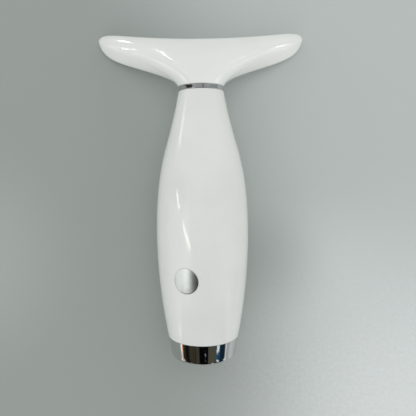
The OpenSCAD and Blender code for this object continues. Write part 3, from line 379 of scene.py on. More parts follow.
def loft(name, rings, closed=False, sharp_deg=35.0, place=placed):
    """A closed piece from rings of equal length: joined end to start if closed, and else capped."""
    count, rows = len(rings[0]), len(rings)
    faces = bands(count, rows, closed)
    if not closed:
        faces += [tuple(range(count)), tuple((rows - 1) * count + j for j in range(count))]
    return meshed(name, [p for ring in rings for p in ring], faces, sharp_deg, place)


def turned(name, profile, count=TURN_STEPS):
    """A ring from a closed profile of (radius, y), turned about the handle's axis."""
    return loft(name, [about_axis(r, y, count) for r, y in profile], closed=True)


def evaluated(piece):
    """The plain mesh that a piece and its modifiers make."""
    graph = bpy.context.evaluated_depsgraph_get()
    return bpy.data.meshes.new_from_object(piece.evaluated_get(graph))


def cut(piece, cutters):
    """Cuts the cutters out of the piece and removes them."""
    for cutter in cutters:
        step = piece.modifiers.new("cut", "BOOLEAN")
        step.operation, step.solver, step.object = "DIFFERENCE", "EXACT", cutter
    result = evaluated(piece)
    piece.modifiers.clear()
    piece.data = result
    for cutter in cutters:
        bpy.data.objects.remove(cutter)
    smooth(result)


def joined(name, parts):
    """One piece from the closed shapes of several, which are removed."""
    bm = edited(*(part.data for part in parts))
    for part in parts:
        bpy.data.objects.remove(part)
    return closed_piece(name, bm)


def hold_handle_normals(mesh):
    """Gives the faces on the handle's outside the true normals of its curve, also round its holes."""
    near = 0.01
    normals = [Vector((0, 0, 0))] * len(mesh.loops)
    shape = [(v.co.x / MM, v.co.y / MM - FOOT_Y, v.co.z / MM - AXIS_Z) for v in mesh.vertices]
    outside = [CAP_H - near <= y <= HANDLE_LEN + near and abs(hypot(x, z) - handle_r(y)) < near
               and abs(z) > 2 * SEAM_ROUND for x, y, z in shape]
    for face in mesh.polygons:
        if all(outside[v] for v in face.vertices):
            for loop in face.loop_indices:
                normals[loop] = handle_normal(*shape[mesh.loops[loop].vertex_index])
    mesh.normals_split_custom_set(normals)


# Shader tools

def tone(red, green, blue):
    """An sRGB colour, 0 to 255, as the linear colour that a shader takes."""
    def linear(c):
        c /= 255
        return c / 12.92 if c <= 0.04045 else ((c + 0.055) / 1.055) ** 2.4
    return linear(red), linear(green), linear(blue), 1.0


def darker(colour, share):
    return tuple(share * c for c in colour[:3]) + (1.0,)


class Value:
    """A number that varies over a surface. Its operators add Math nodes."""

    def __init__(self, tree, socket):
        self.tree, self.socket = tree, socket

    def math(self, operation, *values):
        return self.tree.node("Math", 0, {"operation": operation}, dict(enumerate(values)))

    def __add__(self, other):
        return self.math("ADD", self, other)

    def __sub__(self, other):
        return self.math("SUBTRACT", self, other)

    def __rsub__(self, other):
        return self.math("SUBTRACT", other, self)

    def __mul__(self, other):
        return self.math("MULTIPLY", self, other)

    __radd__ = __add__
    __rmul__ = __mul__


class Tree:
    """The nodes of a material, a pattern or the room."""

    prefix = "ShaderNode"

    def __init__(self, tree):
        self.tree = tree

    def node(self, kind, output, settings=None, inputs=None):
        """Adds a node, sets it, feeds its sockets and returns one of its outputs."""
        kinds = (prefix + kind for prefix in (self.prefix, "ShaderNode", "FunctionNode"))
        made = self.tree.nodes.new(next(k for k in kinds if hasattr(bpy.types, k)))
        for name, value in (settings or {}).items():
            setattr(made, name, value)
        for socket, value in (inputs or {}).items():
            self.set(made.inputs[socket], value)
        return Value(self, made.outputs[output])

    def set(self, socket, value):
        if isinstance(value, Value):
            self.tree.links.new(value.socket, socket)
        else:
            socket.default_value = value

    def axes(self, vector):
        """The three numbers of a vector."""
        split = self.node("SeparateXYZ", 0, {}, {"Vector": vector}).socket.node
        return [Value(self, output) for output in split.outputs]

    def noise(self, scale, detail=2.0, roughness=0.5, place=None):
        return self.node("TexNoise", 0, {}, {"Vector": place or self.place, "Scale": scale,
                                             "Detail": detail, "Roughness": roughness})

    def share(self, value, low, high):
        """0 below low and 1 above high, with a soft change between."""
        return self.node("MapRange", 0, {"interpolation_type": "SMOOTHSTEP"},
                         {"Value": value, "From Min": low, "From Max": high})

    def mix(self, share, a, b):
        """Colour a where share is 0 and colour b where it is 1."""
        return self.node("Mix", 2, {"data_type": "RGBA"}, {0: share, 6: a, 7: b})


class Finish(Tree):
    """A material in the making: its Principled shader and the nodes that feed it."""

    def __init__(self, name, constants):
        self.material = bpy.data.materials.new(name)
        self.material.use_nodes = True
        super().__init__(self.material.node_tree)
        self.shader = self.tree.nodes["Principled BSDF"]
        for socket, value in constants.items():
            self.shader.inputs[socket].default_value = value
        self.place = self.node("TexCoord", "Object")

    def feed(self, name, value):
        self.set(self.shader.inputs[name], value)

    def grain(self, scale, detail, roughness):
        """Noise with its axes scaled, for grain, scratches and wrinkles."""
        stretched = self.node("Mapping", 0, {}, {"Vector": self.place, "Scale": scale})
        return self.noise(1, detail, roughness, stretched)

    def stripes(self, way, scale, distortion=0.0):
        return self.node("TexWave", 1, {"wave_type": "BANDS", "bands_direction": way},
                         {"Vector": self.place, "Scale": scale, "Distortion": distortion})

    def cells(self, output, scale, randomness=1.0, distance="EUCLIDEAN"):
        return self.node("TexVoronoi", output, {"feature": "F1", "distance": distance},
                         {"Vector": self.place, "Scale": scale, "Randomness": randomness})

    def clouds(self, noise, low, high, colour, other):
        """Paints soft clouds of another colour and returns them."""
        clouds = self.share(self.noise(*noise), low, high)
        self.feed("Base Color", self.mix(clouds, colour, other))
        return clouds

    def surface(self, roughness, height, depth):
        """Gives the finish its roughness and bump, and returns the material."""
        self.feed("Roughness", roughness)
        self.feed("Normal", self.node("Bump", 0, {}, {"Height": height, "Distance": depth}))
        return self.material


def gloss_plastic(name, colour, shadow, roughness=0.1):
    """Gloss moulding: faint clouds of colour, orange peel, finger marks and fine wiping scratches."""
    made = Finish(name, {"IOR": 1.5})
    made.clouds((55, 3), 0.35, 0.7, tone(*colour), tone(*shadow))
    marks = made.share(made.noise(120, 5, 0.6), 0.5, 0.72)
    hairs = made.share(made.grain((260, 4200, 260), 4, 0.7), 0.62, 0.74)
    return made.surface(roughness + marks * 0.05 + hairs * 0.05,
                        made.noise(420, 1) * 0.7 + made.noise(2600, 2) * 0.12, 6e-6)


def bright_metal(name, colour, roughness=0.06, smudge=0.08, grain=(900, 900, 900), depth=1.5e-6):
    """Plated or polished metal with breath-like smudges and hairline wear."""
    made = Finish(name, {"Metallic": 1.0})
    smudges = made.clouds((140, 5, 0.6), 0.48, 0.75, tone(*colour), darker(tone(*colour), 0.93))
    hairs = made.grain(grain, 5, 0.65)
    return made.surface(roughness + smudges * smudge + made.share(hairs, 0.6, 0.8) * 0.06, hairs, depth)


def satin_plastic(name, colour, shadow, roughness=0.42, texture=1e-5):
    """Moulded plastic with a fine spark-eroded texture."""
    made = Finish(name, {"IOR": 1.5})
    made.clouds((150, 4), 0.35, 0.7, tone(*colour), tone(*shadow))
    grain = made.noise(5200, 3, 0.6)
    return made.surface(roughness + grain * 0.12, grain, texture)


def circuit_board():
    """Green solder mask over fine tracks that run two ways, with tinned pads and through holes painted near black as
    the shade inside them.
    """
    made = Finish("green_circuit_board", {"IOR": 1.5})
    blocks = made.cells(1, 190.0, 0.8, "CHEBYCHEV")
    kind = made.axes(blocks)[0]
    upright, level = made.share(kind, 0.36, 0.37), made.share(kind, 0.68, 0.69)
    across, along = (made.share(made.stripes(way, 570.0), 0.6, 0.78) for way in "XY")
    tracks = across * (upright - level) + along * level
    pour = (1 - upright) * 0.55
    spots = made.cells(0, 430.0, 0.5)
    pads, holes = 1 - made.share(spots, 0.13, 0.16), 1 - made.share(spots, 0.05, 0.07)
    weave = made.noise(3000, 2)
    mask = made.mix(tracks + pour, tone(14, 84, 48), tone(36, 124, 72))
    tinned = made.mix(pads, mask, tone(196, 196, 190))
    # The near-black of the holes is painted shade inside each hole
    made.feed("Base Color", made.mix(holes, tinned, tone(20, 24, 22)))
    made.feed("Metallic", (pads - holes) * 0.9)
    return made.surface(0.34 + weave * 0.1 - pads * 0.08, tracks * 0.5 + pour * 0.6 + pads + weave * 0.1, 2e-5)


def cell_wrap():
    """Shrunk film: a bright blue skin with a lengthwise seam and faint cross wrinkles."""
    made = Finish("battery_shrink_wrap", {"IOR": 1.5})
    x = made.axes(made.place)[0]
    seam = 1 - made.share(x.math("ABSOLUTE", x), 0.0004, 0.0006)
    wrinkles = made.grain((240, 1500, 240), 3, 0.5)
    made.feed("Base Color", made.mix(seam, tone(38, 84, 168), tone(26, 62, 130)))
    return made.surface(0.24 + wrinkles * 0.14, wrinkles * 0.5 + seam, 3e-5)


def film(name, colour, track, pitch):
    """Clear amber film over etched metal tracks."""
    made = Finish(name, {"IOR": 1.6})
    rungs = made.share(made.stripes("X", pitch), 0.5, 0.62)
    mottle = made.noise(700, 3)
    made.feed("Base Color", made.mix(rungs, tone(*colour), tone(*track)))
    made.feed("Metallic", rungs * 0.5)
    return made.surface(0.24 + mottle * 0.16, rungs + mottle * 0.2, 2e-5)


def foam():
    made = Finish("open_foam", {})
    pores = made.cells(0, 1900.0)
    # Painted shade: each pore is darker towards its middle, where the bump also sinks it
    made.feed("Base Color", made.mix(made.share(pores, 0.1, 0.5), tone(38, 39, 42), tone(84, 86, 90)))
    return made.surface(0.95, pores * 0.8 + made.noise(4200, 3) * 0.3, 1.5e-4)


def machined(name, colour, roughness=0.28):
    """Bare turned or pressed metal: fine tool grain and a little handling stain."""
    made = Finish(name, {"Metallic": 1.0})
    stain = made.clouds((330, 4, 0.6), 0.42, 0.72, tone(*colour), darker(tone(*colour), 0.82))
    lines = made.grain((2600, 2600, 2600), 4, 0.6)
    return made.surface(roughness + lines * 0.12 + stain * 0.06, lines, 4e-6)


def laminated_core():
    """Stack of thin steel sheets, seen as fine dark lines across the axis."""
    made = Finish("laminated_core", {"Metallic": 1.0})
    sheets = made.stripes("Y", 900.0)
    made.feed("Base Color", made.mix(sheets, tone(92, 88, 86), tone(158, 152, 148)))
    return made.surface(0.34 + made.noise(2400, 3) * 0.14, sheets, 3e-5)


def copper_turns():
    """Enamelled copper wire laid side by side, painted darker between the turns as shade in the grooves."""
    made = Finish("enamelled_copper", {"Metallic": 1.0, "Coat Roughness": 0.1})
    turns = made.stripes("DIAGONAL", 1500.0, 0.6)
    # Painted shade: the dark copper tone falls in the grooves between turns
    made.feed("Base Color", made.mix(turns, tone(120, 52, 24), tone(196, 104, 56)))
    made.feed("Coat Weight", 0.6 + turns * 0.3)
    return made.surface(0.22 + made.noise(900, 3) * 0.12, turns, 4e-5)


def sleeve(name, colour, dark):
    """Soft wire insulation with a faint matt bloom."""
    made = Finish(name, {"IOR": 1.42})
    bloom = made.clouds((420, 4, 0.6), 0.4, 0.7, tone(*colour), tone(*dark))
    return made.surface(0.36 + bloom * 0.14, made.noise(2600, 2), 1e-5)


FINISHES = {
    "gloss_white": gloss_plastic("gloss_white_abs", (238, 238, 235), (235, 235, 231)),
    "button_white": gloss_plastic("button_gloss_abs", (236, 236, 234), (232, 232, 229), 0.16),
    "chrome_trim": bright_metal("chrome_plated_trim", (214, 214, 216)),
    "chrome_cap": bright_metal("chrome_plated_cap", (212, 212, 212), grain=(1800, 120, 1800)),
    "plate_metal": bright_metal("polished_plate", (219, 220, 222), 0.04, 0.06),
    "foil": bright_metal("bare_foil", (222, 223, 224), 0.22, 0.05, (2600, 140, 2600), 4e-6),
    "clear_window": satin_plastic("frosted_window", (226, 229, 232), (218, 222, 226), 0.2),
    "inner_white": satin_plastic("natural_nylon", (222, 219, 208), (212, 208, 196)),
    "inner_grey": satin_plastic("grey_abs_frame", (112, 116, 121), (100, 104, 110)),
    "board_green": circuit_board(),
    "black_part": satin_plastic("black_epoxy", (34, 35, 38), (46, 47, 50), 0.5),
    "ferrite": satin_plastic("dark_ferrite", (48, 48, 52), (62, 61, 64), 0.55, 3e-5),
    "core_tape": satin_plastic("yellow_core_tape", (222, 186, 58), (206, 168, 46), 0.3, 4e-6),
    "steel": machined("plated_steel", (186, 188, 192)),
    "can_end": machined("drawn_aluminium", (206, 207, 208), 0.3),
    "gold_brass": machined("gilt_bronze", (216, 176, 98), 0.22),
    "cell_wrap": cell_wrap(),
    "foam": foam(),
    "magnet": satin_plastic("sintered_ferrite", (52, 54, 60), (70, 72, 78), 0.6, 3e-5),
    "armature": laminated_core(),
    "copper": copper_turns(),
    "wire_red": sleeve("red_silicone", (186, 34, 30), (164, 26, 24)),
    "wire_yellow": sleeve("amber_silicone", (226, 168, 44), (206, 148, 34)),
    "heater_amber": film("heater_film_amber", (196, 122, 40), (150, 96, 50), 160.0),
    "flex_amber": film("led_flex_amber", (204, 138, 52), (214, 170, 98), 420.0),
    "led_cream": satin_plastic("led_housing", (236, 234, 226), (226, 223, 212), 0.3, 4e-6),
    "phosphor": satin_plastic("led_phosphor", (232, 206, 74), (222, 190, 56), 0.3, 6e-6),
}


def wear(piece, slot, node, finish=None, body="root"):
    """Gives a piece its finish and the body it moves with, and hides the node it stands for."""
    piece.data.materials.clear()
    piece.data.materials.append(FINISHES[finish or slot])
    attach(piece, body)
    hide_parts(node)


# Outer pieces

def shell_profile():
    """Closed profile of the two handle halves, and how many of its points lie on the outside."""
    outer = [(handle_r(y), y) for y in steps(CAP_H, HANDLE_LEN, 150)]
    stem_r, collar_r = STEM_R + FIT, COLLAR_R + 2 * FIT
    lock_low, lock_high = STEM_END - COLLAR_PLAY, STEM_END + COLLAR_H + COLLAR_PLAY
    neck = [(NECK_SPIGOT_R, HANDLE_LEN), (NECK_SPIGOT_R, NECK_TOP - FIT), (stem_r, NECK_TOP - FIT),
            (stem_r, lock_high), (collar_r, lock_high), (collar_r, lock_low), (RIB_R, lock_low), (RIB_R, RIB_AT)]
    inner = [(handle_r(y) - WALL, y) for y in steps(RIB_AT, CAP_H + SHOULDER_H, 40)]
    foot = [(SPIGOT_R - SPIGOT_WALL, CAP_H), (SPIGOT_R - SPIGOT_WALL, SPIGOT_AT), (SPIGOT_R, SPIGOT_AT),
            (SPIGOT_R, CAP_H)]
    return outer + neck + inner + foot, len(outer)


def half_shell(name, side):
    """Half of the handle shell, whose parting edge is softly rounded on the outside."""
    profile, outer_count = shell_profile()
    near_seam = [0.0, 0.12, 0.28, 0.5, 0.8, 1.4]
    rings = []
    for degrees in near_seam + steps(3, 177, 87) + [180 - a for a in reversed(near_seam)]:
        sine, cosine = sin(radians(degrees)), cos(radians(degrees))
        ring = []
        for i, (r, y) in enumerate(profile):
            gap = r * sine
            if i < outer_count and gap < SEAM_ROUND:
                r -= SEAM_ROUND - sqrt(SEAM_ROUND**2 - (SEAM_ROUND - gap) ** 2)
            ring.append((r * cosine, y, side * r * sine))
        rings.append(ring)
    return loft(name, rings)


def front_hole(name, y, radius, count):
    """A column that cuts a round hole through the front of the handle."""
    return loft(name, [level_ring(radius, z, count, (0, y)) for z in (-BELLY_R - 2, -5)])


def boss_rings(centre):
    """Rings of a screw boss, from the bottom of its pilot hole to inside the shell's wall."""
    top, middle = ([(x, y, sqrt((handle_r(y) - WALL / 2) ** 2 - x * x))
                    for x, y, _ in level_ring(r, 0, 48, centre)] for r in (BOSS_R, MIDDLE))
    profile = [(MIDDLE, BOSS_FOOT + PILOT_DEEP), (PILOT_R, BOSS_FOOT + PILOT_DEEP), (PILOT_R, BOSS_FOOT + 0.2),
               (PILOT_R + 0.2, BOSS_FOOT), (BOSS_R - 0.15, BOSS_FOOT), (BOSS_R, BOSS_FOOT + 0.15)]
    return [level_ring(r, z, 48, centre) for r, z in profile] + [top, middle]


front_handle = half_shell("front_handle", -1)
cut(front_handle, [front_hole("button_hole", BUTTON_AT, BUTTON_HOLE_R, 128)]
    + [front_hole("lens_hole", WINDOW_AT + i * WINDOW_STEP, LENS_HOLE_R, 64) for i in range(MODE_COUNT)])
rear_handle = joined("rear_handle", [half_shell("rear_half", 1)]
                     + [loft("boss", boss_rings(at)) for at in BOSS_PLACES])
for shell in (rear_handle, front_handle):
    hold_handle_normals(shell.data)


def head_rings():
    """Rings of the head shell: outside, round rim, lip, hollow and stem."""
    around = full_turn(HEAD_STEPS)
    rim = arc((RIM_ROUND, RIM_ROUND), RIM_ROUND, 180, 270, 6)[1:] + [(LIP_INSET, 0)]
    rings = [[head_skin(a, t) for a in around] for t in steps(0, 1, RISE_STEPS)]
    rings += [[face_point(face_outline(a, inset), depth) for a in around] for inset, depth in rim]
    rings += [[head_hollow(a, t) for a in around] for t in steps(1, 0.06, HOLLOW_STEPS)]
    stem = [(STEM_BORE_R, NECK_TOP + HEAD_WALL), (STEM_BORE_R, STEM_END), (COLLAR_R, STEM_END),
            (COLLAR_R, STEM_END + COLLAR_H), (STEM_R, STEM_END + COLLAR_H), (STEM_R, NECK_TOP)]
    return rings + [about_axis(r, y, HEAD_STEPS) for r, y in stem]


rear_head = loft("rear_head", head_rings(), closed=True, sharp_deg=40)
neck_trim = turned("neck_trim", [
    (RING_BORE_R, HANDLE_LEN),
    *arc((RING_R - RING_EDGE, HANDLE_LEN + RING_EDGE), RING_EDGE, -90, 0, 5),
    *arc((RING_R - RING_EDGE, NECK_TOP - RING_EDGE), RING_EDGE, 0, 90, 5),
    (RING_BORE_R, NECK_TOP),
])


def slot_ring(grow, y):
    """The outline of the round-ended socket opening, grown on every side."""
    r, half = (SOCKET_H + 2 * grow) / 2, (SOCKET_W - SOCKET_H) / 2
    ring = []
    for a in full_turn(TURN_STEPS):
        sine, cosine = abs(sin(a)), abs(cos(a))
        flat = sine * half >= cosine * r
        out = r / sine if flat else half * cosine + sqrt(r * r - (half * sine) ** 2)
        ring.append((out * cos(a), y, out * sin(a)))
    return ring


def foot_rings():
    """Rings of the foot cap, from the socket's opening over the foot and back through the bore."""
    rings = [slot_ring(0, CAP_FLOOR), slot_ring(0, SOCKET_CHAMFER)]
    rings += [slot_ring(SOCKET_CHAMFER * (1 - cos(a)), SOCKET_CHAMFER * (1 - sin(a)))
              for a in steps(0, pi / 2, 5)[1:]]
    profile = [*((r, 0) for r in FOOT_RINGS), *arc((FOOT_R - FOOT_ROUND, FOOT_ROUND), FOOT_ROUND, -90, 0, 10)]
    profile += [(lerp(FOOT_R, CAP_TOP_R, t), lerp(FOOT_ROUND, CAP_H - CAP_LIP, t)) for t in steps(0, 1, 6)[1:]]
    profile += [(CAP_TOP_R - CAP_LIP, CAP_H), (CAP_BORE_R, CAP_H), (CAP_BORE_R, CAP_FLOOR),
                (CAP_FLOOR_R, CAP_FLOOR)]
    return rings + [about_axis(r, y) for r, y in profile]


foot_cap = loft("foot_cap", foot_rings(), closed=True)


def disc_point(rho, phi, rise):
    """A point over the handle's back at the foil disc, in polar coordinates about the disc's centre."""
    across, y = rho * cos(phi), DISC_AT + rho * sin(phi)
    up = sqrt((handle_r(y) + rise) ** 2 - across * across)
    sine, cosine = sin(DISC_TURN), cos(DISC_TURN)
    return across * cosine - up * sine, y, across * sine + up * cosine


def disc_rings():
    top = DISC_GLUE + DISC_T
    profile = [(r, top) for r in (0.05, 1, 2, 3, 4, 5, 5.6)]
    profile += [(DISC_R - DISC_EDGE, top), (DISC_R - 0.3 * DISC_EDGE, top - 0.3 * DISC_EDGE),
                (DISC_R, top - DISC_EDGE)]
    profile += [(r, DISC_GLUE) for r in (DISC_R, 5, 4, 3, 2, 1, 0.05)]
    return [[disc_point(rho, a, rise) for a in full_turn(128)] for rho, rise in profile]


def face_rings(profile):
    """Rings that follow the face's outline: one for each inset and depth of the profile."""
    return [[plate_point(face_outline(a, inset), depth) for a in full_turn(HEAD_STEPS)]
            for inset, depth in profile]


foil_disc = loft("foil_disc", disc_rings())
light_ring = loft("light_ring", face_rings([
    *arc((WINDOW_INSET + WINDOW_EDGE, WINDOW_EDGE), WINDOW_EDGE, 180, 270, 4),
    *arc((PLATE_EDGE_INSET - WINDOW_EDGE, WINDOW_EDGE), WINDOW_EDGE, 270, 360, 4),
    (PLATE_EDGE_INSET, PLATE_BACK + 0.05), (LEDGE_INSET, PLATE_BACK + 0.05), (LEDGE_INSET, WINDOW_T),
    (WINDOW_INSET, WINDOW_T),
]), closed=True)


def plate_piece():
    """The contact plate: a round-edged sheet whose two faces follow the face's curve."""
    profile = [(PLATE_INSET, PLATE_BACK),
               *arc((PLATE_INSET + PLATE_EDGE, -PLATE_PROUD + PLATE_EDGE), PLATE_EDGE, 180, 270, 6)]
    points = [p for ring in face_rings(profile) for p in ring]
    faces = bands(HEAD_STEPS, len(profile))
    # Each face is filled with rows of quads between its upper and lower edges
    for ring in (0, len(profile) - 1):
        inset, depth = profile[ring]
        columns = []
        for j in range(HEAD_STEPS // 2 + 1):
            top, low = ring * HEAD_STEPS + j, ring * HEAD_STEPS + (HEAD_STEPS - j) % HEAD_STEPS
            if top == low:
                columns.append([top] * (PLATE_ROWS + 1))
                continue
            across, up = face_outline(j * tau / HEAD_STEPS, inset)
            down = face_outline(-j * tau / HEAD_STEPS, inset)[1]
            columns.append([top, *range(len(points), len(points) + PLATE_ROWS - 1), low])
            points += [plate_point((across, lerp(up, down, t)), depth) for t in steps(0, 1, PLATE_ROWS)[1:-1]]
        faces += [tuple(dict.fromkeys((a[k], a[k + 1], b[k + 1], b[k])))
                  for a, b in zip(columns, columns[1:]) for k in range(PLATE_ROWS)]
    return meshed("touch_plate", points, faces, 50)


def front_rings(at, profile, count):
    """Rings over the handle's front, about a place on its centre line: one for each radius and rise."""
    rings = []
    for rho, rise in profile:
        flat = level_ring(rho, 0, count, (0, at))
        rings.append([(x, y, -sqrt((handle_r(y) + rise) ** 2 - x * x)) for x, y, _ in flat])
    return rings


def button_rings():
    """Rings of the button, from the middle of its dish over the edge to the flange and the stem."""
    flat = BUTTON_R - BUTTON_EDGE
    profile = [(rho, BUTTON_PROUD - BUTTON_DISH * (1 - (rho / flat) ** 2) ** 1.5)
               for rho in (0.05, 0.8, 1.6, 2.4, 3.2, 3.9, 4.4, 4.75, flat)]
    profile += arc((flat, BUTTON_PROUD - BUTTON_EDGE), BUTTON_EDGE, 90, 0, 7)[1:]
    flange_z = -sqrt((handle_r(BUTTON_AT + FLANGE_R) - WALL - FLANGE_GAP) ** 2 - FLANGE_R**2)
    stem = [(BUTTON_R, flange_z), (FLANGE_R, flange_z), (FLANGE_R, flange_z + FLANGE_T),
            (BUTTON_STEM_R, flange_z + FLANGE_T),
            (BUTTON_STEM_R, BOARD_FRONT - SWITCH_H - PLUNGER_RISE - PLUNGER_GAP)]
    return front_rings(BUTTON_AT, profile, 128) + [level_ring(r, z, 128, (0, BUTTON_AT)) for r, z in stem]


def lens_rings(y):
    """Rings of one domed mode lens and its pin."""
    flat, deep = LENS_R - LENS_EDGE, -WALL - TUBE_PAST
    profile = [(r, -LENS_DOME * (r / LENS_R) ** 2) for r in (MIDDLE, 0.3, 0.6, flat)]
    profile += arc((flat, -LENS_DOME - LENS_EDGE), LENS_EDGE, 90, 0, 4)[1:] + [(LENS_R, deep), (MIDDLE, deep)]
    return front_rings(y, profile, 64)


def guide_rings():
    """Rings of the strip behind the shell that joins the three lenses."""
    across = steps(-GUIDE_W / 2, GUIDE_W / 2, 8)
    rings = []
    for y in steps(WINDOW_AT - GUIDE_END, WINDOW_AT + (MODE_COUNT - 1) * WINDOW_STEP + GUIDE_END, 24):
        low, high = handle_r(y) - WALL - GUIDE_T, handle_r(y) - WALL - FIT
        rings.append([(x, y, -sqrt(high * high - x * x)) for x in across]
                     + [(x, y, -sqrt(low * low - x * x)) for x in reversed(across)])
    return rings


button_trim = loft("button_trim", front_rings(BUTTON_AT, [
    (BEZEL_BORE_R, -WALL - TUBE_PAST), (BEZEL_BORE_R, 0.0),
    *arc((BEZEL_BORE_R + 0.3, BEZEL_PROUD - 0.3), 0.3, 180, 90, 5),
    *arc((BEZEL_R - 0.35, BEZEL_PROUD - 0.35), 0.35, 90, 0, 5),
    (BEZEL_TUBE_R, 0.05), (BEZEL_TUBE_R, -WALL - TUBE_PAST)], 160), closed=True)
mode_guide = joined("mode_guide", [loft("guide_strip", guide_rings())] + [
    loft("lens_pin", lens_rings(WINDOW_AT + i * WINDOW_STEP)) for i in range(MODE_COUNT)])

wear(rear_handle, "gloss_white", "rear_handle_shell")
wear(front_handle, "gloss_white", "front_handle_shell")
wear(rear_head, "gloss_white", "rear_head_shell")
wear(neck_trim, "chrome_trim", "neck_ring")
wear(foot_cap, "chrome_cap", "bottom_cap")
wear(foil_disc, "foil", "label_disc")
wear(light_ring, "clear_window", "light_window")
wear(plate_piece(), "plate_metal", "contact_plate")
wear(button_trim, "chrome_trim", "button_bezel")
wear(loft("button_dish", button_rings()), "button_white", "button_cap", body="button")
wear(mode_guide, "clear_window", "mode_light_guide")


# Small parts, each in a frame of its own with Z out of what carries it

def own_place(p):
    """A point of a small part's own frame in millimetres, in metres."""
    return Vector(p) * MM


def on_board(centre, face=BOARD_FRONT, side=-1):
    """Places a small part's own frame on a board, with its Z out of the board."""
    return lambda p: placed((centre[0] + p[0], centre[1] + p[1], face + side * p[2]))


def on_cell(p):
    """Places the battery's own frame, whose Z runs along the cell."""
    return placed((p[0], CELL_AT + p[2], CELL_Z + p[1]))


def soft_rect(width, length, radius, z, corner=4):
    """A level rectangle with round corners."""
    ring = []
    for i, (sx, sy) in enumerate(((1, 1), (-1, 1), (-1, -1), (1, -1))):
        centre = (sx * (width / 2 - radius), sy * (length / 2 - radius))
        ring += [(x, y, z) for x, y in arc(centre, radius, 90 * i, 90 * (i + 1), corner)]
    return ring


def block(name, size, low, high, radius, edge, place):
    """A moulded block with round corners and soft edges, from one height to another."""
    width, length = size
    heights = [(low, edge), (low + edge * 0.3, edge * 0.3), (low + edge, 0), (high - edge, 0),
               (high - edge * 0.3, edge * 0.3), (high, edge)]
    return loft(name, [soft_rect(width - 2 * inset, length - 2 * inset, max(radius - inset, 0.02), z)
                       for z, inset in heights], place=place)


def round_part(name, profile, count=48, place=own_place, closed=False):
    """A turned small part from (radius, z)."""
    return loft(name, [level_ring(r, z, count) for r, z in profile], closed=closed, place=place)


def cross_bars(length, width, corner, low, high, place):
    """Two crossing bars, which cut a recess or a score."""
    return [loft("bar", [soft_rect(*size, corner, z, 1) for z in (low, high)], place=place)
            for size in ((length, width), (width, length))]


class Pattern(Tree):
    """A Geometry Nodes tree in the making, whose inputs are named for the sizes they set."""

    prefix = "GeometryNode"

    def __init__(self, name, inputs):
        super().__init__(bpy.data.node_groups.new(name, "GeometryNodeTree"))
        sockets = self.tree.interface
        sockets.new_socket("Geometry", in_out="OUTPUT", socket_type="NodeSocketGeometry")
        sockets.new_socket("Geometry", in_out="INPUT", socket_type="NodeSocketGeometry")
        self.ids = {label: sockets.new_socket(label, in_out="INPUT", socket_type="NodeSocket" + kind).identifier
                    for label, kind in {**inputs, "Step": "Float", "Finish": "Material"}.items()}
        self.asked_node = self.tree.nodes.new("NodeGroupInput")

    def asked(self, label):
        return Value(self, self.asked_node.outputs[label])

    def way(self, label):
        """A direction kept on each place."""
        return self.node("InputNamedAttribute", 0, {"data_type": "FLOAT_VECTOR"}, {"Name": label})

    def repeated(self, geometry, domain, count, label):
        """Copies of what is there, each a step further along a kept direction."""
        copies = self.node("DuplicateElements", 0, {"domain": domain},
                           {"Geometry": geometry, "Amount": self.asked(count)})
        index = Value(self, copies.socket.node.outputs["Duplicate Index"])
        offset = self.node("VectorMath", 0, {"operation": "SCALE"},
                           {0: self.way(label), "Scale": self.asked("Step") * index})
        return self.node("SetPosition", 0, {}, {"Geometry": copies, "Offset": offset})

    def close(self, geometry):
        whole = self.node("RealizeInstances", 0, {}, {"Geometry": geometry})
        done = self.node("SetMaterial", 0, {}, {"Geometry": whole, "Material": self.asked("Finish")})
        self.set(self.tree.nodes.new("NodeGroupOutput").inputs[0], done)
        return self

    def grown(self, name, points, edges, ways, inputs):
        """The plain piece that the tree grows from points, the edges between them and their directions."""
        seed = bpy.data.meshes.new(name)
        seed.from_pydata([placed(p) for p in points], edges, [])
        for label, values in ways.items():
            field = seed.attributes.new(label, "FLOAT_VECTOR", "POINT")
            for i, way in enumerate(values):
                field.data[i].vector = Vector(way).normalized()
        start = link(name + "_seed", seed)
        step = start.modifiers.new("grow", "NODES")
        step.node_group = self.tree
        for label, value in inputs.items():
            step[self.ids[label]] = value
        made = link(name, evaluated(start))
        bpy.data.objects.remove(start)
        return made


def rows_pattern():
    """A part repeated in a row from each place, turned to face out of what carries it."""
    tree = Pattern("parts_in_rows", {"Part": "Object", "Count": "Int"})
    row = tree.repeated(tree.asked("Geometry"), "POINT", "Count", "along")
    out = tree.node("AlignRotationToVector", 0, {"axis": "Z"}, {"Vector": tree.way("out")})
    turn = tree.node("AlignRotationToVector", 0, {"axis": "X", "pivot_axis": "Z"},
                     {"Rotation": out, "Vector": tree.way("along")})
    part = tree.node("ObjectInfo", "Geometry", {}, {"Object": tree.asked("Part")})
    return tree.close(tree.node("InstanceOnPoints", 0, {}, {"Points": row, "Instance": part, "Rotation": turn}))


def winding_pattern():
    """Wire wound side by side round each closed path."""
    tree = Pattern("wound_wire", {"Turns": "Int", "Wire": "Float"})
    path = tree.node("MeshToCurve", 0, {}, {"Mesh": tree.asked("Geometry")})
    turns = tree.repeated(path, "SPLINE", "Turns", "out")
    section = tree.node("CurvePrimitiveCircle", 0, {}, {"Resolution": 8, "Radius": tree.asked("Wire")})
    return tree.close(tree.node("CurveToMesh", 0, {}, {"Curve": turns, "Profile Curve": section}))


PARTS_IN_ROWS = rows_pattern()


def in_rows(name, part, spots, finish, count=1, step=0.0):
    """One piece of a small part set at (point, out, along) places, in rows along the last."""
    points, outs, alongs = zip(*spots)
    made = PARTS_IN_ROWS.grown(name, points, [], {"out": outs, "along": alongs}, {
        "Part": part, "Count": count, "Step": step * MM, "Finish": FINISHES[finish]})
    bpy.data.objects.remove(part)
    smooth(made.data)
    return made


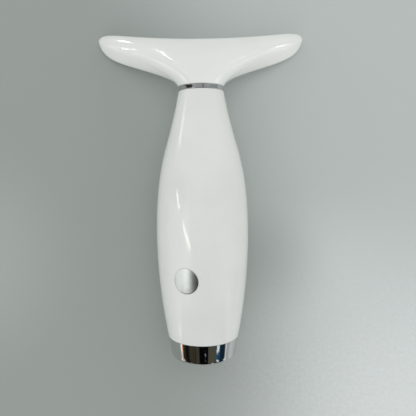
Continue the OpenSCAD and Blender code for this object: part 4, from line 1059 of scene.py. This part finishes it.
def screw(length):
    """A cross-recess pan-head screw with its thread: head up, tip down."""
    count, top, side = 32, SCREW_HEAD_H, SCREW_HEAD_R

    def thread_r(turn, z):
        """Radius of the thread's flank at an angle and a depth below the head."""
        tooth = 1 - min(abs((-z / PITCH - turn / tau) % 1 - 0.5) / FLANK, 1)
        return (SCREW_CORE_R + THREAD * tooth) * min((length + z) / TIP_LEN + TIP_BLUNT, 1)

    profile = [(MIDDLE, top), (0.5, top), (1.0, top - 0.06), *arc((side - 0.42, top - 0.48), 0.42, 90, 0, 4),
               (side, 0.08), (side - 0.08, 0), (SCREW_CORE_R + 0.1, 0)]
    rings = [level_ring(r, z, count) for r, z in profile]
    for z in steps(-0.1, -length, int(length / PITCH * 8)):
        rings.append([(thread_r(a, z) * cos(a), thread_r(a, z) * sin(a), z) for a in full_turn(count)])
    made = loft("screw", rings, place=own_place)
    cut(made, cross_bars(RECESS_LEN, RECESS_W, 0.05, top - RECESS_DEEP, top + 0.3, own_place))
    return made


def leg(reach, rise, width=0.24, sheet=0.1):
    """A gull-wing terminal: X across it, Y out to its foot, Z up from the board."""
    path = [(-0.2, rise), (0.3 * reach, rise), (0.42 * reach, rise - 0.06), (0.6 * reach, 0.11),
            (0.72 * reach, 0.05), (reach, 0.05)]
    return loft("leg", [[(sx * width / 2, y, z + sz * sheet / 2) for sx, sz in ((-1, -1), (1, -1), (1, 1), (-1, 1))]
                        for y, z in path], place=own_place, sharp_deg=30)


def chip(name, node, centre, body, sides, legs, pitch, reach, rise, face=BOARD_FRONT, side=-1, dot=0.35):
    """A moulded chip body with a pin-one dimple, and rows of legs along some of its sides."""
    width, length, height = body
    moulding = block(name + "_body", (width, length), 0.1, height, 0.12, 0.1, on_board(centre, face, side))
    if dot:
        spot = (centre[0] - width / 2 + 2.2 * dot, centre[1] + length / 2 - 2.2 * dot)
        cut(moulding, [round_part("dimple", [(dot, height - 0.06), (dot, height + 0.3)], 32,
                                  on_board(spot, face, side))])
    wear(moulding, "black_part", node)
    spots = []
    for turn in sides:
        way = Vector((cos(turn), sin(turn), 0))
        # The foot is on the leg's own Y, which is out x along
        along = way.cross(Vector((0, 0, side)))
        half = abs(way.x) * width / 2 + abs(way.y) * length / 2
        spots.append((Vector((*centre, face)) + way * half - along * pitch * (legs - 1) / 2, (0, 0, side), along))
    wear(in_rows(name + "_legs", leg(reach, rise), spots, "steel", legs, pitch), "steel", node)


def lights(name, node, size, crown, spots):
    """LEDs at (point, out, along) places: each a housing with a cup, and the phosphor in the cup."""
    wide, long, high = size
    cup_w, cup_l = wide - 0.32, long - 0.32
    housing = loft("housing", [
        soft_rect(wide - 0.1, long - 0.1, 0.05, 0), soft_rect(wide, long, 0.08, 0.05),
        soft_rect(wide, long, 0.08, high - 0.05), soft_rect(wide - 0.1, long - 0.1, 0.06, high),
        soft_rect(cup_w, cup_l, 0.14, high), soft_rect(cup_w - 0.16, cup_l - 0.16, 0.12, high - 0.22)],
        place=own_place)
    fill = loft("fill", [soft_rect(cup_w - shrink, cup_l - shrink, 0.1, high - deep) for shrink, deep in
                         ((0.14, 0.2), (0.04, 0.06), (0.14, 0.02), (crown, 0.01))], place=own_place)
    wear(in_rows(name + "_housings", housing, spots, "led_cream"), "led_cream", node)
    wear(in_rows(name + "_phosphor", fill, spots, "phosphor"), "led_cream", node, "phosphor")


# Main board: chip, transformer, capacitor, coils, switch and mode lights

QUARTERS = [0, pi / 2, pi, -pi / 2]
chip("controller", "controller_chip", CHIP_AT, (CHIP_W - 2 * CHIP_REACH, CHIP_W - 2 * CHIP_REACH, CHIP_H),
     QUARTERS, legs=12, pitch=0.44, reach=CHIP_REACH, rise=0.45)

on_coil = on_board(TRANSFORMER_AT)
width, length, height = TRANSFORMER
bobbin = joined("transformer_bobbin", [
    block("base", (width - 0.6, length), 0, 1.1, 0.3, 0.12, on_coil),
    block("flange", (width - 1.2, length - 1.4), height - 1.0, height - 0.25, 0.3, 0.12, on_coil)])
tape = loft("transformer_tape", [
    soft_rect(width - 2.4 + swell, length - 3.2 + swell, 1.2, z)
    for z, swell in ((1.0, -0.4), (1.3, 0.0), (2.4, 0.22), (3.2, 0.3), (4.0, 0.22), (height - 1.2, 0.0),
                     (height - 0.9, -0.4))], place=on_coil)
core = loft("transformer_core", [
    soft_rect(width - 2 * inset, 3.4 - 2 * inset, 0.2, z) for z, inset in
    ((1.1, 0.12), (1.2, 0.0), (height - 0.12, 0.0), (height, 0.12))], place=on_coil)
cut(core, [block("core_window", (width - 2.6, 6), -1, height - 1.3, 0.3, 0.1, on_coil)])
wear(bobbin, "black_part", "board_parts")
wear(tape, "black_part", "board_parts", "core_tape")
wear(core, "black_part", "board_parts", "ferrite")

on_can = on_board(CAPACITOR_AT)
can_r, can_top = CAPACITOR_R - 0.1, CAPACITOR_H - 0.06
wear(block("capacitor_base", (2 * CAPACITOR_R, 2 * CAPACITOR_R), 0, 0.7, 0.7, 0.1, on_can),
     "black_part", "board_parts")
can = round_part("capacitor_can", [
    (0.05, 0.5), (can_r - 0.3, 0.5), (can_r, 0.72), (can_r, 0.95), (can_r - 0.24, 1.12), (can_r, 1.3),
    *arc((can_r - 0.3, CAPACITOR_H - 0.3), 0.3, 0, 90, 5), (can_r - 0.6, can_top), (0.05, can_top)], 96, on_can)
cut(can, cross_bars(3.4, 0.14, 0.04, CAPACITOR_H - 0.14, CAPACITOR_H + 0.3, on_can))
wear(can, "black_part", "board_parts", "can_end")

for i, (x, y) in enumerate(COIL_PLACES, 1):
    wide, long, high = COIL
    wear(block(f"coil_core_{i}", (wide - 0.1, long - 0.2), 0.05, high - 0.05, 0.15, 0.1, on_board((x, y))),
         "black_part", "board_parts", "ferrite")
    ends = [block("end", (wide, COIL_END), 0, high, 0.12, 0.08, on_board((x, y + side * (long - COIL_END) / 2)))
            for side in (-1, 1)]
    wear(joined(f"coil_ends_{i}", ends), "steel", "board_parts")

on_switch = on_board((0, BUTTON_AT))
base = block("switch_base", (SWITCH_W, SWITCH_W), 0, SWITCH_H - 0.45, 0.3, 0.1, on_switch)
lid = block("switch_lid", (SWITCH_W - 0.1, SWITCH_W - 0.1), SWITCH_H - 0.47, SWITCH_H - 0.12, 0.5, 0.1, on_switch)
stakes = [round_part("stake", [(STAKE_R, 2), (STAKE_R, SWITCH_H - 0.1), (STAKE_R - 0.1, SWITCH_H), (0.05, SWITCH_H)],
                     24, on_board((across * STAKE_AT, BUTTON_AT + along * STAKE_AT)))
          for across in (-1, 1) for along in (-1, 1)]
for part in (base, lid):
    cut(part, [round_part("plunger_hole", [(PLUNGER_HOLE_R, 1.0), (PLUNGER_HOLE_R, SWITCH_H + 1)], 64, on_switch)])
wear(joined("switch_case", [base] + stakes), "black_part", "switch_body")
wear(lid, "steel", "switch_body")

lights("mode_light", "mode_leds", MODE_LED, MODE_LED_CROWN, [
    ((0, WINDOW_AT + i * WINDOW_STEP, BOARD_FRONT), (0, 0, -1), (1, 0, 0)) for i in range(MODE_COUNT)])


# Lights round the plate

def head_spots():
    """Where each LED of the head stands, the way it faces and the way its long side lies."""
    spots = []
    for across in steps(-HEAD_LED_HALF, HEAD_LED_HALF, HEAD_LEDS - 1):
        v, turn = abs(across) / FACE_HALF_W, across / FACE_RADIUS
        along = (cos(turn), sin(turn) * TILT_SIN, -sin(turn) * TILT_COS)
        spots += [(face_point((across, up), HEAD_LED_DEPTH), face_out(across), along)
                  for up in (edge_top(v) - HEAD_LED_INSET, edge_low(v) + HEAD_LED_INSET)]
    return spots


lights("head_light", "head_leds", HEAD_LED, HEAD_LED_CROWN, head_spots())

# Charge board and the socket's contacts
chip("charge_chip", "charge_parts", CHARGE_CHIP_AT, CHARGE_CHIP, QUARTERS[::2], legs=4, pitch=0.9, reach=0.6,
     rise=0.5, face=CHARGE_FACE, side=1)
chip("charge_diode", "charge_parts", DIODE_AT, DIODE, QUARTERS[1::2], legs=1, pitch=1, reach=0.35,
     rise=0.4, face=CHARGE_FACE, side=1, dot=0)
contact = block("contact", CONTACT, -0.05, 0.03, 0.04, 0.015, own_place)
wear(in_rows("socket_contacts", contact, [
    ((-side * CONTACT_STEP * (CONTACTS - 1) / 2, TONGUE_AT + CONTACT_MIDDLE, side * TONGUE_T / 2),
     (0, 0, side), (side, 0, 0))
    for side in (-1, 1)], "gold_brass", CONTACTS, CONTACT_STEP), "gold_brass", "usb_tongue")

# Battery: drawn can under a shrink wrap that folds over its ends
wear(round_part("cell_wrap_sleeve", [
    (6.9, 0.02), (7.6, 0.0), *arc((CELL_R - 0.9, 0.9), 0.9, -90, 0, 6),
    *arc((CELL_R - 0.9, CELL_LEN - 0.9), 0.9, 0, 90, 6), (7.6, CELL_LEN), (6.9, CELL_LEN - 0.02),
    (6.9, CELL_LEN - 0.15), (CELL_R - 0.5, CELL_LEN - 0.6), (CELL_R - 0.15, CELL_LEN - 1.2),
    (CELL_R - 0.15, 1.2), (CELL_R - 0.5, 0.6), (6.9, 0.15)], 128, on_cell, True), "cell_wrap", "battery_cell")
wear(round_part("cell_can", [
    (0.05, 0.25), (6.0, 0.25), (7.2, 0.15), (CELL_R - 0.7, 0.65), (CELL_R - 0.25, 1.4),
    *((r, CELL_LEN - down) for r, down in (
        (CELL_R - 0.25, 3.6), (CELL_R - 0.7, 3.2), (CELL_R - 0.7, 2.9), (CELL_R - 0.25, 2.4), (CELL_R - 0.3, 1.2),
        (7.4, 0.2), (6.2, 0.3), (5.8, 1.1), (3.6, 1.0), (3.3, 0.2), (2.9, 0.05), (0.05, 0.05)))],
    128, on_cell), "steel", "battery_cell")


# Motor: shaft, commutator, laminated armature and its windings

def armature_ring(y):
    """Outline of the armature: three poles with wide tips on narrow necks."""
    half_tip = pi / POLES - POLE_GAP / CORE_R
    neck = [(r, asin(POLE_NECK / r)) for r in (POLE_ROOT_R, POLE_BACK_R)]
    pole = [(r, -turn) for r, turn in neck]
    pole += [(CORE_R, side * half_tip) for side in (-1, -0.5, 0, 0.5, 1)] + neck[::-1]
    return [(r * cos(middle + turn), y, r * sin(middle + turn))
            for middle in POLE_TURNS for r, turn in pole]


def segment_gap(middle):
    """A thin wedge between two segments of the commutator."""
    ends = (COMMUTATOR_AT - 0.2, COMMUTATOR_AT + COMMUTATOR_LEN + 0.2)
    root = COMMUTATOR_R * 0.72
    corners = [(root * cos(middle) + r * cos(middle + turn),
                root * sin(middle) + r * sin(middle + turn))
               for r, turn in ((0.8, -0.12), (0.8, 0.12), (0.032, 1.5), (0.032, -1.5))]
    return loft("gap", [[(x, y, z) for x, z in corners] for y in ends])


def coil_paths():
    """The closed paths of the three coils, their edges, and the way each is wound outward."""
    points, edges, ways = [], [], []
    for middle in POLE_TURNS:
        out = Vector((cos(middle), 0, sin(middle)))
        across = Vector((-sin(middle), 0, cos(middle)))
        path = [out * COIL_R + across * x + Vector((0, CORE_AT + CORE_LEN / 2 + y, 0))
                for x, y, _ in soft_rect(COIL_W, CORE_LEN + COIL_PAST, 0.5, 0)]
        edges += [(len(points) + i, len(points) + (i + 1) % len(path)) for i in range(len(path))]
        points += path
        ways += [out] * len(path)
    return points, edges, {"out": ways}


shaft_side = SHAFT_R - 0.15
shaft = turned("rotor_shaft", [
    (MIDDLE, SHAFT_AT), (shaft_side, SHAFT_AT), (SHAFT_R, SHAFT_AT + 0.15), (SHAFT_R, SHAFT_END - 0.15),
    (shaft_side, SHAFT_END), (MIDDLE, SHAFT_END)], 48)
stack = loft("armature_stack", [armature_ring(y) for y in (CORE_AT, CORE_AT + CORE_LEN)])
commutator_end = COMMUTATOR_AT + COMMUTATOR_LEN
commutator = turned("commutator", [
    (SHAFT_R - 0.05, COMMUTATOR_AT), (COMMUTATOR_R - 0.1, COMMUTATOR_AT), (COMMUTATOR_R, COMMUTATOR_AT + 0.1),
    (COMMUTATOR_R, commutator_end), (SHAFT_R - 0.05, commutator_end)], 96)
cut(commutator, [segment_gap(pi / 6 + i * tau / POLES) for i in range(POLES)])
windings = winding_pattern().grown("armature_windings", *coil_paths(), {
    "Turns": COIL_TURNS, "Step": COIL_STEP * MM, "Wire": COIL_WIRE_R * MM, "Finish": FINISHES["copper"]})
windings.data.shade_smooth()
wear(shaft, "steel", "motor_rotor", body="rotor")
wear(stack, "armature", "motor_rotor", body="rotor")
wear(commutator, "armature", "motor_rotor", "gold_brass", "rotor")
wear(windings, "armature", "motor_rotor", "copper", "rotor")

def flat_in_face(across, up, depth):
    """A point behind the middle of the face, in the flat frame of the head's board."""
    return across, FACE_Y + up * TILT_COS - depth * TILT_SIN, FACE_Z + up * TILT_SIN + depth * TILT_COS


HEAD_SCREWS = [flat_in_face(side * HEAD_SCREWS_X, 0, HEAD_SCREWS_DEPTH) for side in (-1, 1)]
for name, node, length, out, places in [
    ("board_screw_set", "board_screws", 3.1, (0, 0, -1), BOARD_SCREWS),
    ("chassis_screw_set", "chassis_screws", 7.8, (0, 0, -1), CHASSIS_SCREWS),
    ("clip_screw_set", "clip_screws", 4.0, (0, 0, 1), CLIP_SCREWS),
    ("head_screw_set", "head_board_screws", 3.0, (0, -TILT_SIN, TILT_COS), HEAD_SCREWS),
]:
    wear(in_rows(name, screw(length), [(at, out, RECESS_WAY) for at in places], "steel"), "steel", node)


# The rest keep the CAD's own solids, with soft edges where they have any

def dressed(node, slot, edge, finish=None):
    """A node's own solids, with merged points, edges softened by so many millimetres, and a finish."""
    source = frame["nodes"][node]
    sharp_deg = 60 if slot.startswith("wire") else 28
    bm = edited(source.data)
    bmesh.ops.remove_doubles(bm, verts=bm.verts, dist=2e-6)
    bmesh.ops.dissolve_limit(bm, angle_limit=radians(0.6), verts=bm.verts, edges=bm.edges)
    if edge:
        folds = [e for e in bm.edges if e.is_manifold and e.calc_face_angle(0) > radians(sharp_deg)]
        bmesh.ops.bevel(bm, geom=folds, offset=edge * MM, segments=2, profile=0.7, clamp_overlap=True,
                        affect="EDGES")
    wear(closed_piece(node + "_dressed", bm, sharp_deg + 12), slot, node, finish, body_of(source)[0])


for slot, edges in {
    "inner_white": {"plate_carrier": 0.12, "board_headers": 0.15, "wire_plugs": 0.15, "battery_washers": 0,
                    "end_plate": 0.12, "motor_cap": 0.1},
    "inner_grey": {"chassis": 0.12},
    "board_green": {"head_board": 0.05, "main_board": 0.05, "charge_board": 0.05},
    "black_part": {"thermistor": 0, "switch_plunger": 0.2, "usb_tongue": 0.06},
    "steel": {"battery_tabs": 0.05, "usb_shell": 0.07, "motor_can": 0.3, "motor_weight": 0.15, "motor_clip": 0.06},
    "gold_brass": {"contact_pin": 0.12, "motor_bushes": 0.1},
    "magnet": {"motor_magnets": 0.1},
    "foam": {"battery_pad": 0.6},
    "heater_amber": {"heater_film": 0},
    "wire_red": {"battery_wires": 0, "charge_wires": 0},
    "wire_yellow": {"motor_wires": 0, "head_harness": 0},
}.items():
    for node, edge in edges.items():
        dressed(node, slot, edge)
dressed("led_flex", "heater_amber", 0, "flex_amber")


# Floor

FLOOR_HALF = 2.5


def table_finish():
    """Satin grey-green table top, painted paler to the right as a sheen of light, with a few soft patches of painted
    light and painted shade.
    """
    made = Finish("satin_table", {"IOR": 1.45})
    x, y, _ = made.axes(made.place)
    grain = made.grain((900, 60, 900), 4, 0.6)

    def patch(at_x, at_y, reach):
        """How near a place of the table top is to the middle of a soft round patch, for the painted light and
        painted shade below.
        """
        away_x, away_y = x - at_x, y - at_y
        return 1 - made.share(x.math("SQRT", away_x * away_x + away_y * away_y), 0.0, reach)

    # Painted sheen of light: the table top grows paler to the right, with a little real grain in the change
    across = made.share(x + y * 0.35, -0.035, 0.07) + (grain - 0.5) * 0.06
    # Breaks up the painted highlight at the lower right
    mottle = made.noise(520, 3, 0.7) * 0.9 + 0.55
    # Colour of the painted shade
    shade = tone(152, 157, 154)
    colour = made.mix(across, tone(167, 172, 168), tone(201, 206, 204))
    # Painted light to the left and right, painted shade beside the belly and below the foot, and a mottled painted
    # highlight at the lower right
    for share, other in [
        (patch(-0.135, -0.04, 0.08) * 0.5, tone(196, 199, 196)),
        (patch(0.07, -0.045, 0.05) * 0.25, tone(232, 236, 234)),
        (patch(0.036, -0.045, 0.04) * 0.45, shade), (patch(0.028, -0.11, 0.04) * 0.4, shade),
        (patch(0.12, -0.13, 0.15) * mottle, tone(236, 239, 238)),
    ]:
        colour = made.mix(share, colour, other)
    made.feed("Base Color", colour)
    return made.surface(0.55, grain, 4e-6)


floor_mesh = bpy.data.meshes.new("table_top")
floor_mesh.from_pydata([(x * FLOOR_HALF, y * FLOOR_HALF, 0) for x, y in ((-1, -1), (1, -1), (1, 1), (-1, 1))],
                       [], [(0, 1, 2, 3)])
floor = link("table_top", floor_mesh)
floor_mesh.materials.append(table_finish())


# The room, lamps and glints

def room_light():
    """The room: plain soft light, and for gloss a pale room with a white panel at the left and dark bands
    towards the foot, which the chrome mirrors. A band's edges are numbers on the axes of a direction."""
    world = bpy.data.worlds.new("room")
    bpy.context.scene.world = world
    world.use_nodes = True
    room = Tree(world.node_tree)
    toward = room.node("TexCoord", "Generated")
    x, y, z = room.axes(toward)
    left, footward = x * -1, y * -1
    soft = 1.16 - room.share(z, 0.0, 1.0) * 0.73 + y * 0.2 - x * 0.03
    foot_side = room.share(footward, 0.42, 0.55) * room.share(z, 0.04, 0.1)
    foot_side *= room.share(x, -0.79, -0.78) * (1 - room.share(x, 0.79, 0.81))
    overhead = room.share(footward, 0.22, 0.32) * room.share(x, -0.52, -0.34) * room.share(z, 0.7, 0.78)
    clouds = room.noise(5, 3, 0.6, room.node("Mapping", 0, {}, {"Vector": toward, "Scale": (1.6, 0.15, 0.1)}))
    dark = (0.004, 0.004, 0.004, 1)
    for band, colour in [
        (room.share(clouds, 0.42, 0.6), (0.06, 0.055, 0.035, 1)),
        (room.share(x, -0.2, -0.17), (0.002, 0.002, 0.003, 1)), (room.share(x, 0.2, 0.23), (0.088, 0.084, 0.062, 1)),
        (room.share(x, 0.54, 0.56), (0.012, 0.07, 0.14, 1)), (room.share(x, 0.68, 0.7), (0.008, 0.022, 0.036, 1)),
    ]:
        dark = room.mix(band, dark, colour)
    panel = room.share(left, 0.45, 0.6) * room.share(z, 0.2, 0.35) * (1 - room.share(y, 0.0, 0.1))
    white = room.mix(room.share(left, 0.66, 0.8), (1.24, 1.27, 1.22, 1), (0.95, 0.99, 0.93, 1))
    neck_band = room.share(y, 0.03, 0.07) * (1 - room.share(y, 0.27, 0.32))
    end_block = room.share(left, 0.66, 0.7) * (1 - room.share(left, 0.955, 0.97))
    seam = room.share(x, 0.13, 0.15) * (1 - room.share(x, 0.2, 0.22))
    pale = (0.7, 0.74, 0.73, 1)
    for band, colour in [
        (room.share(z, 0.45, 0.95), (0.36, 0.38, 0.37, 1)), (panel, white),
        (neck_band * room.share(x.math("ABSOLUTE", x), 0.4, 0.8), (0.3, 0.33, 0.31, 1)),
        (neck_band * x.math("MAXIMUM", end_block, seam), (0.03, 0.026, 0.014, 1)),
    ]:
        pale = room.mix(band, pale, colour)
    glossy = room.mix(x.math("MAXIMUM", foot_side, overhead), pale, dark)
    lit = room.node("VectorMath", 0, {"operation": "SCALE"}, {0: (0.965, 1.0, 1.0), "Scale": soft})
    colour = room.mix(room.node("LightPath", "Is Glossy Ray"), lit, glossy)
    colour = room.mix(room.node("LightPath", "Is Camera Ray"), colour, tone(190, 194, 192))
    room.set(room.tree.nodes["Background"].inputs["Color"], colour)


def only_on(made, pieces):
    """Lets a light reach the given pieces alone."""
    lit = bpy.data.collections.new(made.name + "_on")
    for piece in pieces:
        lit.objects.link(piece)
    made.light_linking.receiver_collection = lit


LAMP_AWAY, LAMP_SIZE = 1.2, 0.9


def lamp(name, direction, power, colour):
    """A square area lamp that faces the object from a direction."""
    light = bpy.data.lights.new(name, "AREA")
    light.shape, light.size, light.energy, light.color = "SQUARE", LAMP_SIZE, power, colour
    made = link(name, light)
    way = Vector(direction).normalized()
    made.location = way * LAMP_AWAY
    made.rotation_euler = way.to_track_quat("Z", "Y").to_euler()
    made.visible_glossy = False
    return made


GLINT_FAR = 8.0


def glints(name, piece, strength, width, colour, runs, far=GLINT_FAR):
    """Strip lights that show only as glints on one piece: each follows a run of directions, far away,
    or where far is None a run of points close by."""
    material = bpy.data.materials.new(name)
    material.use_nodes = True
    tree = Tree(material.node_tree)
    tree.tree.nodes.clear()
    glow = tree.node("Emission", 0, {}, {"Color": colour, "Strength": strength})
    tree.set(tree.tree.nodes.new("ShaderNodeOutputMaterial").inputs["Surface"], glow)
    points, faces = [], []
    for run in runs:
        middle = [Vector(way).normalized() * far if far else Vector(way) for way in run]
        start = len(points)
        for i, p in enumerate(middle):
            along = middle[min(i + 1, len(middle) - 1)] - middle[max(i - 1, 0)]
            side = along.cross(p).normalized() * width / 2
            points += [p - side, p + side]
        faces += [(start + 2 * i, start + 2 * i + 2, start + 2 * i + 3, start + 2 * i + 1)
                  for i in range(len(middle) - 1)]
    mesh = bpy.data.meshes.new(name)
    mesh.from_pydata(points, [], faces)
    mesh.materials.append(material)
    made = link(name, mesh)
    made.visible_camera = made.visible_diffuse = made.visible_shadow = made.visible_transmission = False
    only_on(made, [piece])


room_light()
lamp("key", (0.12, 0.25, 1.0), 2.5, (1.0, 0.995, 0.99))
lamp("fill", (-0.3, -1.0, 0.3), 1.5, (1.0, 0.995, 0.99))
only_on(lamp("head_fill", (0.15, -0.8, 0.5), 3.4, (1.0, 0.99, 1.0)), [rear_head])

SOFT_WHITE, CREAM = (0.95, 1.0, 0.98, 1), (1.0, 0.95, 0.84, 1)
glints("head_glints", rear_head, 30, 0.08, SOFT_WHITE, [
    [(-0.33, 0.918, 0.194), (-0.388, 0.857, 0.317), (-0.453, 0.78, 0.419), (-0.5, 0.715, 0.48)],
    [(-0.967, -0.127, 0.202), (-0.947, 0.011, 0.302), (-0.889, 0.202, 0.407), (-0.837, 0.306, 0.439)],
    [(-0.947, -0.299, 0.12), (-0.947, -0.28, 0.14)], [(-0.944, -0.146, 0.295), (-0.944, -0.126, 0.31)],
    [(-0.67, 0.741, 0.033), (-0.68, 0.73, 0.04)], [(-0.973, 0.06, 0.22), (-0.972, 0.08, 0.226)],
    [(-0.62, 0.45, 0.64), (-0.66, 0.4, 0.64)],
])
glints("head_side_glints", rear_head, 30, 0.24, SOFT_WHITE, [
    [(-0.58, 0.8, 0.115), (-0.525, 0.844, 0.098), (-0.461, 0.884, 0.052), (-0.404, 0.907, 0.02)],
    [(0.956, 0.01, 0.265), (0.97, -0.09, 0.195)], [(0.8, 0.29, 0.512), (0.775, 0.345, 0.511)],
    [(0.948, -0.3, 0.112), (0.947, -0.28, 0.128)],
])
glints("handle_glints", rear_handle, 20, 0.15, CREAM, [
    [(-0.919, 0.111, 0.377), (-0.851, 0.027, 0.525)],
    [(-0.744, -0.074, 0.664), (-0.625, -0.152, 0.766), (-0.503, -0.219, 0.836)],
    [(0.403, -0.39, 0.816), (0.399, -0.42, 0.816)], [(0.79, -0.425, 0.423), (0.788, -0.44, 0.423)],
    [(0.862, -0.42, 0.235), (0.862, -0.436, 0.21)],
])
glints("faint_handle_glints", rear_handle, 6, 0.15, CREAM, [
    [(-0.889, 0.455, 0.047), (-0.848, 0.479, 0.224)], [(-0.459, 0.559, 0.69), (-0.447, 0.562, 0.696)],
    [(-0.805, -0.566, 0.18), (-0.816, -0.575, 0.074)], [(0.64, -0.62, 0.43), (0.65, -0.65, 0.41)],
    [(-0.946, -0.255, 0.194), (-0.943, -0.275, 0.192)],
])
glints("cap_glints", foot_cap, 6, 0.3, SOFT_WHITE, [
    [(-0.52, -0.78, 0.31), (-0.48, -0.8, 0.31)], [(0.3, -0.86, 0.36), (0.4, -0.84, 0.34)],
])
for name, strength, width, colour, runs in [
    ("cap_dapple", 1.2, 0.0021, SOFT_WHITE, [
        [(0.0903, -0.1682, 0.1136), (0.107, -0.1682, 0.0992)],
        [(0.0903, -0.1728, 0.1136), (0.107, -0.1708, 0.0992)]]),
    ("cap_spot", 1.2, 0.007, SOFT_WHITE, [[(0.0132, -0.1792, 0.1497), (0.0132, -0.18, 0.1497)]]),
    ("cap_cream", 1.6, 0.013, (1.0, 0.86, 0.5, 1), [[(-0.1335, -0.162, 0.047), (-0.1325, -0.1664, 0.05)]]),
    ("cap_orange", 0.8, 0.013, (0.9, 0.25, 0.08, 1), [[(-0.1318, -0.1664, 0.053), (-0.1298, -0.1705, 0.058)]]),
]:
    glints(name, foot_cap, strength, width, colour, runs, far=None)

# Camera: straight down, with the height and the lens that fit the object's outline
SENSOR, PICTURE, FOCAL_PIXELS = 36, 416, 445.3
lens = bpy.data.cameras.new("view")
lens.sensor_width, lens.lens = SENSOR, FOCAL_PIXELS / PICTURE * SENSOR
lens.shift_x, lens.shift_y = 0.0147, -0.083
camera = link("view", lens)
camera.location = (0, 0.00745, 0.24795)
camera.rotation_euler = (0, 0, radians(-0.6))
bpy.context.scene.camera = camera
bpy.context.scene.view_settings.view_transform = "Standard"
